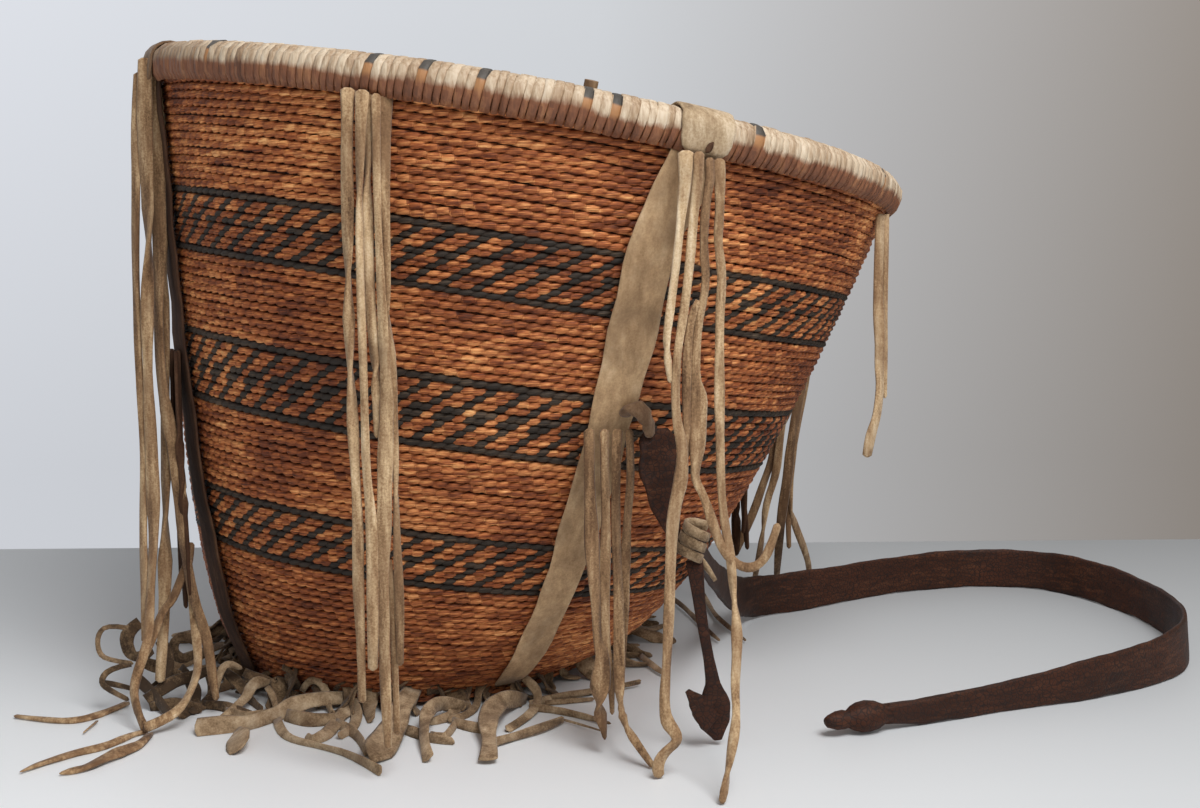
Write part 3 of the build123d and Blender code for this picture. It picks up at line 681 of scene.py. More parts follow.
def boundStitch(bm, layers):
    lowLayer, = layers
    profile = binding["profile"]
    places = []
    for i, (r, z) in enumerate(profile):
        turn = binding["slant"] * (0.5 - i / (len(profile) - 1))
        def spot(k):
            k = min(max(k, 0), len(profile) - 1)
            t = binding["slant"] * (0.5 - k / (len(profile) - 1))
            return Vector((profile[k][0] * math.sin(t), -profile[k][0] * math.cos(t), profile[k][1]))
        along = spot(i + 1) - spot(i - 1)
        face = Vector(((r - hoop["radius"]) * math.sin(turn), -(r - hoop["radius"]) * math.cos(turn), z - hoop["lift"]))
        share = i / (len(profile) - 1)
        narrow = 1.0 if share < 0.7 else 1 - 0.16 * (share - 0.7) / 0.3
        places.append(acrossLine(spot(i), along, face, binding["halfWidth"] * narrow, binding["halfThickness"]))
    ring = bmesh.ops.create_circle(bm, segments=8, radius=1)["verts"]
    for v in ring:
        v.co = [math.copysign(abs(c) ** 0.55, c) for c in v.co]
    bmesh.ops.transform(bm, matrix=places[0], verts=ring)
    edges = list({e for v in ring for e in v.link_edges})
    for v in ring:
        v[lowLayer] = 1.0
    lows = (1.0, 0.6, 0.2, 0.0, 0.0, 0.0, 0.0, 0.12, 0.42, 0.80, 1.0, 1.0)
    for i, (before, here) in enumerate(zip(places, places[1:])):
        out = bmesh.ops.extrude_edge_only(bm, edges=edges)["geom"]
        fresh = {g for g in out if isinstance(g, bmesh.types.BMVert)}
        edges = [g for g in out if isinstance(g, bmesh.types.BMEdge) and set(g.verts) <= fresh]
        bmesh.ops.transform(bm, matrix=here @ before.inverted(), verts=list(fresh))
        for v in fresh:
            v[lowLayer] = lows[i + 1]
    bmesh.ops.contextual_create(bm, geom=edges)


rim = bmesh.new()
lowLayer = rim.verts.layers.float.new("low")
for name in ("side", "dark", "row", "number"):
    rim.faces.layers.int.new(name)
boundStitch(rim, [lowLayer])
unitFaces = len(rim.faces)
bmesh.ops.spin(rim, geom=list(rim.verts) + list(rim.edges) + list(rim.faces), axis=(0, 0, 1), cent=(0, 0, 0),
               angle=2 * math.pi * (hoop["count"] - 1) / hoop["count"], steps=hoop["count"] - 1, use_duplicate=True)
bmesh.ops.recalc_face_normals(rim, faces=rim.faces)
layers = {name: rim.faces.layers.int[name] for name in ("side", "dark", "row", "number")}
darkStitches = {-38, -15, -9, -3, 8, 11, 28, 54, 95, 137, -80, -125}
rimStep = 2 * math.pi / hoop["count"]
seen = {}
for face in rim.faces:
    c = face.calc_center_median()
    number = int(round(math.atan2(c.x, -c.y) / rimStep + 0.001))
    face[layers["number"]] = number % hoop["count"]
    face[layers["dark"]] = 1 if number in darkStitches else 0
    face[layers["row"]] = 96
wobble = rng.normal(0, 1, (hoop["count"], 3))
for v in rim.verts:
    a = math.atan2(v.co.x, -v.co.y)
    k = int(round(a / rimStep)) % hoop["count"]
    radial = Vector((math.sin(a), -math.cos(a), 0))
    swell = 0.3 * wobble[k, 0] + 0.35 * math.sin(9 * a) + 0.25 * math.sin(23 * a + 1)
    v.co += radial * swell + Vector((0, 0, 0.18 * wobble[k, 1] + 0.3 * math.sin(7 * a + 2)))
    v.co += Vector((math.cos(a), math.sin(a), 0)) * 0.45 * wobble[k, 2]
bmesh.ops.transform(rim, matrix=toMetres @ rimFrame, verts=rim.verts)
rimPiece = makePiece("rim_splint_binding", rim, boundSplint, nodes=["rim_binding"])
toneStitches(rimPiece.data, tones)
print("rim bound", len(rimPiece.data.polygons))


# hide strips up the wall
strips = {
    "angles": {"front_right": 24.5, "back_right": 120, "back_left": 205, "front_left": -65.5},
    "aside": {"front_right": -13, "back_right": 0, "back_left": 0, "front_left": 0},
    "foot": 10, "top": 250, "footWidth": 14, "topWidth": 24, "thickness": 1.6, "gap": 0.3,
}


def stripTurn(angle, h, aside):
    rim = ringPoint(basket["height"], angle, basket["mouthRadius"])
    direction = Vector((rim.x, rim.y)).normalized()
    shifted = Vector((-direction.y, direction.x)) * aside
    middle = ringFrame(h).translation
    centre = Vector((middle.x, middle.y)) - shifted
    along = centre.dot(direction)
    place = direction * (along + math.sqrt(along ** 2 - centre.dot(centre) + wallRadius(h) ** 2)) - centre
    return math.degrees(math.atan2(place.x, -place.y))


def makeStrip(name, angle):
    places = []
    aside = strips["aside"][name]
    heights = np.linspace(strips["foot"], strips["top"] + 27, 38)

    def turnAt(h):
        return stripTurn(angle, h, aside * (1 - 0.85 * min(max((h - 238) / 36, 0), 1)))

    def spot(h):
        part = max(0, (h - strips["foot"]) / (strips["top"] - strips["foot"]))
        width = strips["footWidth"] + (strips["topWidth"] - strips["footWidth"]) * math.sqrt(min(part, 1))
        stand = strips["gap"] + strips["thickness"] / 2 + width ** 2 / (8 * wallRadius(h)) + 0.25
        stand += 0.35 * math.sin(h / 9 + angle) + 0.25 * math.sin(h / 4.1)
        return ringPoint(h, turnAt(h), wallRadius(h) + stand), width
    for h in heights:
        here, width = spot(h)
        along = spot(h + 2)[0] - spot(max(h - 2, 1))[0]
        turn = math.radians(turnAt(h))
        face = ringFrame(h).to_3x3() @ Vector((math.sin(turn), -math.cos(turn), -wallSlope(h)))
        width *= 1 + 0.045 * math.sin(h / 13 + angle) + 0.03 * math.sin(h / 5)
        places.append(acrossLine(here, along, face, width / 2, strips["thickness"] / 2))
    bm = sweepSection(places, sides=16, squareness=0.45)
    bmesh.ops.scale(bm, verts=bm.verts, vec=(mm, mm, mm))
    # the two left strips take the dark hide, painted shade toned like the shaded left of the wall
    piece = makePiece(f"hide_strip_{name}", bm, stripHide if "right" in name else darkShadeHide, nodes=[f"strip_{name}"])


for name, angle in strips["angles"].items():
    makeStrip(name, angle)

# tabs folded over the bound rim
tabs = {"width": 26, "thickness": 1.7, "outside": -12, "inside": -14, "reach": 9.4, "rise": 8.2}


def makeTab(name, angle):
    profile = []
    for z in (tabs["outside"], -9.5, -6, -2):
        profile.append((tabs["reach"] - 0.012 * (z + 2) ** 2, z))
    for a in range(0, 181, 20):
        profile.append((tabs["reach"] * math.cos(math.radians(a)), tabs["rise"] * math.sin(math.radians(a))))
    for z in (-4, -9, tabs["inside"]):
        profile.append((-tabs["reach"] + 0.4, z))
    a0 = math.radians(angle)
    out, side = Vector((math.sin(a0), -math.cos(a0), 0)), Vector((math.cos(a0), math.sin(a0), 0))
    points = [out * (hoop["radius"] + r) + Vector((0, 0, hoop["lift"] + z)) for r, z in profile]
    places = []
    widths = [0.62, 0.84, 0.96, 1.0] + [1.0] * 10 + [0.98, 0.9, 0.6]
    for i, point in enumerate(points):
        along = points[min(i + 1, len(points) - 1)] - points[max(i - 1, 0)]
        r, z = profile[i]
        face = out * r + Vector((0, 0, z if z > 0 else 0))
        jitter = 1 + 0.03 * math.sin(i * 1.9 + angle)
        places.append(acrossLine(point, along, face, tabs["width"] / 2 * widths[i] * jitter, tabs["thickness"] / 2))
    bm = sweepSection(places, sides=16, squareness=0.42)
    # the tab bends with the rim across its width
    for v in bm.verts:
        across = v.co.dot(side)
        v.co -= out * across ** 2 / (2 * hoop["radius"])
    bmesh.ops.transform(bm, matrix=toMetres @ rimFrame, verts=bm.verts)
    piece = makePiece(f"hide_tab_{name}", bm, loopHide if name == "front_left" else tabHide, nodes=[f"rim_tab_{name}"])
    # the slit that the bunch is drawn through, drawn as a dark mark: painted shade in the cut
    slit = bmesh.new()
    centre = rimFrame @ (out * (hoop["radius"] + tabs["reach"] + 0.95) + Vector((0, 0, hoop["lift"] - 8.5)) + side * 1.0)
    up = rimFrame.to_3x3() @ (Vector((0, 0, 1)) + side * 0.5)
    outWorld = rimFrame.to_3x3() @ out
    marks = [acrossLine(centre + up * k, up, outWorld, w, 0.35) for k, w in ((-2.4, 0.3), (-1, 1.5), (1, 1.4), (2.6, 0.3))]
    pourInto(slit, sweepSection(marks, sides=8))
    bmesh.ops.scale(slit, verts=slit.verts, vec=(mm, mm, mm))
    makePiece(f"tab_slit_{name}", slit, darkShadeHide)


for name, angle in strips["angles"].items():
    makeTab(name, angle)
print("strips and tabs on")

# hide thongs, in millimetres: x, y, z and width down each one
tracedThongs = {
    "between_fringe_front": [
        [(3, -200.5, 298.5, 5.6), (2.1, -200.5, 283.9, 3.8), (1.5, -200.5, 264.2, 5.1),
         (1.2, -200.5, 240.6, 5.1), (0.4, -200.5, 212.7, 4.3), (0.5, -200.5, 174.9, 5.2),
         (1.2, -200.5, 140.4, 3.4), (1.8, -200.5, 116.9, 3.9), (0.9, -200.5, 87.5, 5.3),
         (1.5, -200.5, 63.9, 3.4), (1.2, -200.5, 37.3, 3.6)],
        [(9.1, -202.5, 297.5, 5.1), (7.5, -202.5, 273.9, 3.8), (6.2, -202.5, 241, 3), (6.1, -202.5, 211.9, 3),
         (6.4, -202.5, 164, 3.2), (6.1, -202.5, 139.5, 3.5), (8.1, -202.5, 117.7, 4.4),
         (7.5, -202.5, 82.6, 4.8), (6.7, -202.5, 52.4, 3.6)],
        [(11.5, -199.8, 296.1, 4.3), (9.9, -199.8, 269.9, 3.8), (9.5, -199.8, 241, 4.3),
         (9.1, -199.8, 212.5, 4.3), (11.3, -199.8, 186.3, 4.7), (11.3, -199.8, 169.1, 3.9),
         (10.9, -199.8, 154.1, 2.2)],
        [(14.8, -202.2, 295.9, 3.6), (14.1, -202.2, 269.9, 2.8), (14.1, -202.2, 241, 2.8),
         (15.2, -202.2, 190.7, 4.3), (16, -202.2, 171.5, 5.1), (15.2, -202.2, 157.9, 5.6),
         (14.3, -202.2, 140.6, 5.6), (13.2, -202.2, 117.2, 5.7), (11.7, -202.2, 94, 5.3),
         (11.9, -202.2, 70, 4.9), (11.7, -202.2, 46.4, 4.5), (12.2, -202.2, 16.9, 2.7)],
        [(18.6, -200.6, 295.5, 5.5), (17.8, -200.6, 279.6, 3.8), (16.6, -200.6, 253.4, 4.7),
         (16, -200.6, 212.5, 4.7), (17.4, -200.6, 186.3, 4.7), (18.3, -200.6, 157.6, 3.4),
         (18.5, -200.6, 134.7, 2.4), (18.2, -200.6, 105.4, 2.8), (18.9, -200.6, 81.6, 4.4),
         (18.2, -200.6, 53.9, 2.7)],
        [(14.4, -198.8, 99.3, 2.2), (15.2, -198.8, 81.1, 3.1), (15.5, -198.8, 56.9, 2.7),
         (15.9, -198.8, 38.9, 2.7), (15.9, -198.8, 22.1, 2.7)],
    ],
    "rim_fringe_front_right": [
        [(142.7, -200.5, 271.7, 5.6), (142.7, -200.5, 261.4, 5.1), (141.1, -200.5, 249.4, 3.8),
         (139.8, -200.5, 237.5, 3.4), (138.1, -200.5, 221.6, 3.4), (135.9, -200.5, 205.6, 3.4),
         (134.2, -200.5, 193.3, 3), (135, -200.5, 184.5, 3), (135.9, -200.5, 176.7, 2.1)],
        [(148.2, -199.5, 271.3, 5.2), (148.2, -199.5, 261.4, 4.4), (145.9, -199.5, 245.7, 3.6),
         (144.7, -199.5, 229.4, 3.4), (142, -199.5, 205.5, 3.4), (139.4, -199.5, 191.5, 3.4),
         (138.1, -199.5, 174.5, 3.8), (138.5, -199.5, 159.5, 3.9), (141.5, -199.5, 147.3, 4.3),
         (140.6, -199.5, 132.6, 5.2), (137.6, -199.5, 121.7, 5.2), (136.2, -199.5, 105.5, 5.2),
         (135.3, -199.5, 74.9, 5.3), (134.1, -199.5, 50.3, 3.8), (133, -199.6, 35.9, 4),
         (133.9, -199.7, 26, 5), (138.3, -199.8, 20.9, 4.8), (138.9, -199.8, 16.8, 4.6),
         (133, -199.9, 12.3, 5), (129.6, -199.9, 5.9, 5.5), (130.7, -200, 1.8, 4.1)],
        [(148, -197.5, 210.3, 2.1), (145.4, -197.5, 205.3, 3), (143.3, -197.5, 189.1, 3.4),
         (142.9, -197.5, 164.3, 3.4), (143.7, -197.5, 150.5, 3.4), (141.1, -197.5, 137.5, 3.4)],
        [(153, -196.5, 268.8, 4.4), (153.4, -196.5, 262.2, 4.2), (151.7, -196.5, 253.5, 3.6),
         (150.5, -196.5, 241.4, 3.2), (150.5, -196.5, 229.3, 3.2), (151.4, -196.5, 221.3, 3.4),
         (150.9, -196.5, 213.3, 3.2), (147.6, -196.5, 197.2, 3.4), (146.7, -196.5, 176.6, 3.8),
         (148.4, -196.5, 169.7, 6.4), (148, -196.5, 154.6, 6.9), (147.6, -196.5, 142.9, 6),
         (146.3, -196.5, 133.3, 3.5), (150.4, -196.5, 126.7, 3.5), (154.7, -196.5, 112.6, 3.9),
         (158.9, -196.5, 101.5, 3.5), (165.4, -196.5, 94.8, 3.5), (172, -196.5, 93.6, 3.5),
         (177.3, -196.5, 98, 3.5), (180.6, -196.5, 106.6, 3.5), (182.3, -196.5, 112.4, 3.2)],
        [(157.1, -194.8, 268.5, 4.6), (157.4, -194.8, 261.4, 4.2), (157.2, -194.8, 245.4, 3.4),
         (156.4, -194.8, 235.8, 3.4), (157.9, -194.8, 225.4, 3.8), (158.3, -194.8, 217.1, 4.3),
         (157.3, -194.8, 205, 3.8), (157.3, -194.8, 168.1, 3.9), (157.6, -194.8, 150, 3.4),
         (158.1, -194.8, 128.5, 3.2), (159.7, -194.8, 113, 3.9), (162.4, -195.8, 99.1, 3.9),
         (163.1, -198.8, 83.4, 3.5), (164.5, -202.3, 70.1, 4.4), (164.2, -206.3, 58, 4),
         (162.8, -211.1, 45.3, 3.6), (163.4, -216.2, 33.8, 3.2), (160.3, -223, 20, 4.5),
         (157.4, -226.5, 6.7, 3.7), (156.1, -229, 1.8, 2.8)],
    ],
    "mid_fringe_front_right": [
        [(101.1, -171, 150.6, 4.8), (100.9, -171, 128.6, 4.1), (101.7, -171, 109.8, 5.5),
         (102, -171, 93.7, 6.2), (103.5, -171, 73.3, 4.6), (103.8, -171, 53.3, 4), (106.5, -171, 48.6, 6.5),
         (105.5, -171, 35.8, 8), (103.6, -171, 24.1, 8), (106.3, -171, 15, 4), (106.9, -171, 8.8, 1.8)],
        [(107.8, -168.5, 150.1, 4.7), (107.9, -168.5, 132.6, 4.1), (108.4, -168.5, 110.2, 4.1),
         (107.6, -168.5, 87.6, 4.6), (107.3, -168.5, 52.4, 3.7), (110.2, -168.5, 40.6, 3.3),
         (110.5, -168.5, 19.8, 1.8)],
        [(113.7, -166, 149.8, 4.4), (112.9, -166, 126.6, 4.1), (112.8, -166, 98, 4.6),
         (114.1, -166, 69.2, 5.1), (113.8, -168.3, 46.7, 5.2), (113.7, -174.6, 27.6, 3.8),
         (115.8, -179.1, 17.8, 3.8), (122.4, -183.9, 8.7, 3.8), (128, -188, 1.8, 2.4)],
        [(119.1, -163.5, 149.3, 4), (120.3, -163.5, 131.6, 3.6), (118, -163.5, 109, 3.7),
         (117.2, -163.5, 89.9, 4.1), (116.4, -163.5, 71.2, 4.2), (115.8, -163.5, 47.6, 3.3),
         (114.7, -163.5, 28.6, 1.9)],
    ],
    "between_fringe_right": [
        [(246.9, -78, 244.3, 5.6), (246.6, -78, 222, 4.9), (246.6, -78, 202.3, 5.1), (248, -78, 182.1, 5.2),
         (247.7, -78, 169.4, 5.2), (248.4, -78, 157.6, 5.2), (247.1, -78, 143, 5.4), (243.7, -78, 133.2, 5.2),
         (242.3, -78, 123.2, 4.7)],
        [(250.6, -74.5, 245.2, 3), (250.8, -74.5, 202.1, 2.4), (251.2, -74.5, 181.7, 2.4),
         (251.5, -74.5, 153.1, 2.1)],
    ],
    "rim_fringe_back_right": [
        [(236.5, 92, 240, 5.2), (236.2, 92, 215, 4.8), (235.4, 92, 190, 4.6), (234.4, 92, 159.7, 5),
         (232.6, 92, 149.1, 5.7), (230.6, 92, 131.6, 5.7), (227.3, 92, 115.9, 5.7), (224.9, 92, 100.1, 5.7),
         (223.8, 92, 82.9, 5.7), (220.2, 92.3, 58.5, 5.1), (220.3, 106.4, 36.7, 5.1), (222.9, 140, 3.2, 3.5)],
        [(232.4, 88, 238, 4.8), (231.5, 88, 210.2, 4.4), (230.5, 88, 176.3, 4.4), (229.1, 88, 142.8, 4.4),
         (225.4, 88, 128.4, 4.4), (215.9, 88, 110.2, 5), (213.6, 88, 93.5, 5.1), (207.8, 88, 77.8, 5.1),
         (200.8, 88, 55.7, 5.2), (189.9, 88, 32.7, 4)],
        [(228.6, 85, 239.1, 4.2), (227.1, 85, 205.3, 4), (224.1, 85, 160.7, 3.8), (221.3, 85, 127.5, 3.8),
         (217.7, 85, 108.4, 4.4), (215.8, 85, 84.3, 4.4), (209.3, 85, 66.1, 3.8), (207.5, 85, 48, 3.4),
         (205.4, 96.4, 22.8, 4.2), (204.5, 110, 8.3, 3)],
        [(240, 95.5, 240, 4.6), (239.1, 95.5, 199.8, 4.2), (236, 95.5, 159.7, 4.4), (231.4, 95.5, 132.4, 4.4),
         (227.3, 95.5, 103.9, 5.1), (225, 95.5, 82.3, 5.1), (224.7, 97.1, 62.4, 5.1), (230.7, 105, 45.8, 5.1),
         (238.4, 116.5, 28, 4.5), (243.5, 128.1, 12.3, 3.2), (243.2, 135, 3.6, 2.4)],
        [(243.5, 99, 238.9, 4.2), (242, 99, 204.7, 4), (237, 99, 149.2, 3.8), (229.9, 99, 108.9, 3.8),
         (226.3, 99, 86.8, 3.6), (225.5, 99, 64.9, 3.6), (225, 99, 49.6, 3.2), (225.7, 99, 34.7, 2.4)],
    ],
    "rim_fringe_front_left": [
        [(-113.6, -99.5, 314.5, 5), (-116.1, -99.5, 293.2, 4.6), (-117.5, -99.5, 264.7, 4.6),
         (-119.6, -99.5, 230.9, 4.1), (-120.3, -99.5, 197.3, 3.6), (-120.7, -99.5, 178.6, 3.6),
         (-120.2, -99.5, 149.8, 3.3), (-120.5, -99.5, 122.3, 3.3), (-122.5, -99.5, 91.9, 4.2),
         (-122.2, -101.8, 73, 4.8), (-121.2, -106.4, 55.3, 4.2), (-119.8, -112, 39, 4.3)],
        [(-109.7, -102, 321.2, 6.2), (-111.3, -102, 297.7, 7), (-111.5, -102, 264.5, 7.4),
         (-112.1, -102, 231, 7.6), (-114.2, -102, 206.7, 5.6), (-115.8, -102, 169.2, 4.6),
         (-115.5, -102, 140.7, 5.2), (-115.8, -102, 112.2, 6.8), (-116.3, -102, 92.4, 6.3),
         (-117.3, -104.7, 73.7, 4.7), (-117.7, -109.1, 58.6, 4.8), (-117.1, -115.6, 42.1, 4.3),
         (-119.4, -120.7, 31.5, 4.3), (-122.4, -125.4, 22.9, 4.3), (-121, -131.2, 13.3, 4.9),
         (-114.6, -138, 3.1, 4.5)],
        [(-107.6, -98.5, 316.9, 5.5), (-106.8, -98.5, 293.2, 6.1), (-107.2, -98.5, 264.6, 7),
         (-107.8, -98.5, 230.8, 7), (-110.4, -98.5, 197.1, 5.6), (-110.3, -98.5, 168.8, 5.7),
         (-108.2, -98.5, 149.6, 6.2), (-105.1, -98.5, 130.6, 6.2), (-103.7, -98.5, 111.4, 6.2),
         (-103.4, -98.5, 91.5, 6.3), (-101, -99, 72.2, 6.3), (-98.3, -101, 56.2, 5.8),
         (-93.7, -103.1, 44.4, 4.7), (-90.4, -105.9, 31.8, 4.8), (-88.1, -109.8, 16.5, 4.3),
         (-86.3, -112, 9, 3.2)],
        [(-105.7, -93, 307.8, 4.4), (-105.8, -93, 274.3, 4.1), (-107.5, -93, 230.7, 4.1),
         (-108.8, -93, 191.3, 4.6), (-110.4, -93, 156.4, 5.2), (-111.6, -93, 120, 6.2),
         (-114.4, -93, 70.8, 6.3), (-115.7, -94.3, 44.2, 5.3), (-117.5, -100, 14.6, 4.3)],
        [(-99.8, -96, 83.5, 3.2), (-100.8, -96, 75.5, 3.7), (-105, -96.1, 67.9, 4.2),
         (-109.2, -99.3, 55.9, 4.2), (-114.4, -101.4, 50.8, 4.2), (-117.9, -108.5, 38, 4.3),
         (-120, -110.5, 35, 4.3), (-122.1, -116.1, 27.5, 4.3), (-122.8, -124.8, 17.7, 4.3),
         (-119.6, -133.3, 9.5, 4.6), (-113, -140, 3.8, 4.4)],
        [(-101.3, -94.5, 59.7, 3.7), (-98.4, -100.5, 42.7, 4.2), (-94, -112, 27.5, 4.3),
         (-94.2, -119.9, 19.9, 4.3), (-97.7, -131.6, 10.7, 4.3), (-105.8, -138, 6.5, 4.3),
         (-112.2, -141, 4.7, 4.2)],
        [(-136.1, -96.1, 1.4, 3.2), (-140.8, -106.7, 1.4, 3.5), (-145.9, -115.4, 1.4, 3.5),
         (-151.9, -121.1, 1.4, 3), (-159.3, -122.3, 1.4, 2.8), (-171.8, -119.1, 1.4, 2.5),
         (-185.5, -114.4, 1.4, 2)],
        [(-142.4, -122.7, 1.4, 1.1), (-143, -129.8, 1.4, 1), (-143.5, -138.2, 1.4, 0.7)],
        [(-113.4, -137.5, 1.4, 2.5), (-117.9, -140.2, 1.4, 2.5), (-122, -148.2, 1.4, 3.5),
         (-127.6, -158.6, 1.4, 3.5), (-136.7, -164.8, 1.4, 3.5), (-144.6, -173.5, 1.4, 3.5),
         (-150.6, -180.7, 1.4, 2.5), (-154.2, -187.9, 1.4, 1)],
        [(-110.7, -141.7, 1.4, 3), (-110.7, -154.3, 1.6, 4), (-113.5, -161.8, 2, 5),
         (-117.1, -167.9, 2.4, 6), (-121.8, -176.1, 2.2, 5.5), (-126.1, -184.7, 1.8, 4.5),
         (-130.2, -187.2, 1.4, 3.5), (-135.3, -190.6, 1.4, 1.5)],
    ],
}
thongLook = {"thickness": 2.4, "steps": 3, "widen": 1.18}


def layThong(target, points, widths, face, thickness=None, rounded=True, twist=0.0, tone=None):
    line, (wide,) = splineLine([Vector(p) for p in points], [widths], thongLook["steps"])
    places = []
    last = len(line) - 1
    phase = float(rng.uniform(0, 6.28))
    turns = [float(t) for t in rng.uniform(0.15, 0.92, int(rng.integers(0, 3)))] if rounded else []
    for i, here in enumerate(line):
        along = line[min(i + 1, last)] - line[max(i - 1, 0)]
        if along.length < 1e-6:
            continue
        w = float(wide[i]) * thongLook["widen"] * (1 + 0.05 * math.sin(i * 1.3 + phase))
        t = thickness or thongLook["thickness"]
        turn = 0.3 * math.sin(i * 0.35 + phase) + twist * i / last
        for spot in turns:
            turn += math.pi * min(max((i / last - spot) / 0.16 + 0.5, 0), 1)
        places.append(acrossLine(here, along, face, max(w / 2, 0.3), t / 2 * min(1, w / 3.2), turn))
    if rounded:
        first = places[0]
        cap = first.copy()
        cap.translation = first.translation - first.col[2].to_3d() * 1.1
        places.insert(0, cap @ Matrix.Diagonal((0.45, 0.45, 1, 1)))
    end = places[-1]
    tip = end.copy()
    tip.translation = end.translation + end.col[2].to_3d() * 1.2
    places.append(tip @ Matrix.Diagonal((0.3, 0.4, 1, 1)))
    if tone is None:
        tone = float(rng.uniform(-0.26, 0.16))
    pourInto(target, sweepSection(places, sides=8, squareness=0.75, groove=0.4, tone=tone))


heads = {
    "rim_fringe_back_left": ((-19.1, 168.9, 275.2), (-0.45, 0.893), 227, 5, thongHide),
    "mid_fringe_back_right": ((191.3, 71.5, 123.4), (0.889, 0.458), 90, 4, darkShadeHide),
    "mid_fringe_back_left": ((-16.2, 155.3, 151.1), (-0.329, 0.944), 102, 4, thongHide),
    "mid_fringe_front_left": ((-104.9, -92.3, 178.8), (-0.86, -0.511), 132, 4, darkShadeHide),
    "between_fringe_back": ((124.3, 175.1, 250.4), (0.297, 0.955), 228, 5, thongHide),
    "between_fringe_left": ((-117.0, 55.8, 299.2), (-0.939, 0.345), 255, 5, thongHide),
}


def finishBunch(node, bunch, material):
    bmesh.ops.scale(bunch, verts=bunch.verts, vec=(mm, mm, mm))
    piece = makePiece(node.replace("fringe", "thongs"), bunch, material, body=node if node in frame["bodies"] else "root",
                      nodes=[node])


def hangBunch(node, head, outward, length, count, material):
    bunch = bmesh.new()
    bunch.verts.layers.float.new("tone")
    out = Vector((*outward, 0)).normalized()
    side = Vector((-out.y, out.x, 0))
    for k in range(count):
        reach = length * float(rng.uniform(0.8, 1.0)) if k != 2 else length * 0.98
        offset = (k - (count - 1) / 2) * 4.4
        forward = 1.2 * (k % 2) - 0.4
        phase, drift = float(rng.uniform(0, 6.28)), float(rng.uniform(-4, 4))
        points, widths = [], []
        number = max(6, int(reach / 22))
        for i in range(number + 1):
            s = i / number
            sway = 1.4 * math.sin(phase + 5.5 * s) * s + drift * s * s
            points.append(Vector(head) + side * (offset * (1 + 0.25 * s) + sway) + out * (forward + 0.8 * math.sin(phase * 2 + 4 * s))
                          - Vector((0, 0, reach * s - 1.5)))
            widths.append(5.0 - 0.9 * s + 0.7 * math.sin(phase + 9 * s) if i < number else 2.6)
        layThong(bunch, points, widths, out)
    finishBunch(node, bunch, material)


thongTones = {"mid_fringe_front_right": (-0.38, -0.16), "rim_fringe_front_left": (-0.42, -0.16),
              "rim_fringe_back_right": (-0.4, -0.15), "others": (-0.36, -0.04)}
for node, rows in tracedThongs.items():
    bunch = bmesh.new()
    bunch.verts.layers.float.new("tone")
    outward = {"between_fringe_front": (-0.1, -1), "rim_fringe_front_right": (0.39, -0.92),
               "mid_fringe_front_right": (0.48, -0.88), "between_fringe_right": (0.5, -0.87),
               "rim_fringe_back_right": (0.3, -0.95), "rim_fringe_front_left": (-0.35, -0.93)}[node]
    longest = 0
    for row in rows:
        points = [p[:3] for p in row]
        longest = max(longest, points[0][2] - points[-1][2])
        onTable = points[0][2] < 5
        face = Vector((0, -0.3, 1)) if onTable else Vector((*outward, 0))
        layThong(bunch, points, [p[3] for p in row], face, rounded=len(row) > 6 and not onTable,
                 tone=float(rng.uniform(*(thongTones.get(node, (-0.2, 0.1)) if row in rows[:3] else thongTones["others"]))))
    finishBunch(node, bunch, thongHide)
for node, (head, outward, length, count, material) in heads.items():
    hangBunch(node, head, outward, length, count, material)
print("bunches hung")

# patch under the foot, and its cut fringe lying round it
foot = {"patchRadius": 90, "thickness": 1.6, "count": 64, "widen": 1.18}
patch = bmesh.new()
bmesh.ops.create_circle(patch, segments=72, radius=foot["patchRadius"] * mm, cap_ends=True)
bmesh.ops.inset_region(patch, faces=patch.faces[:], thickness=6 * mm)
for v in patch.verts:
    a = math.atan2(v.co.y, v.co.x)
    v.co *= 1 + 0.012 * math.sin(5 * a + 1) + 0.008 * math.sin(13 * a)
    v.co.z = 0.3 * mm
bmesh.ops.solidify(patch, geom=patch.faces[:], thickness=-foot["thickness"] * mm)
bmesh.ops.recalc_face_normals(patch, faces=patch.faces)
patchPiece = makePiece("foot_patch", patch, footHide, nodes=["foot_hide_patch"])

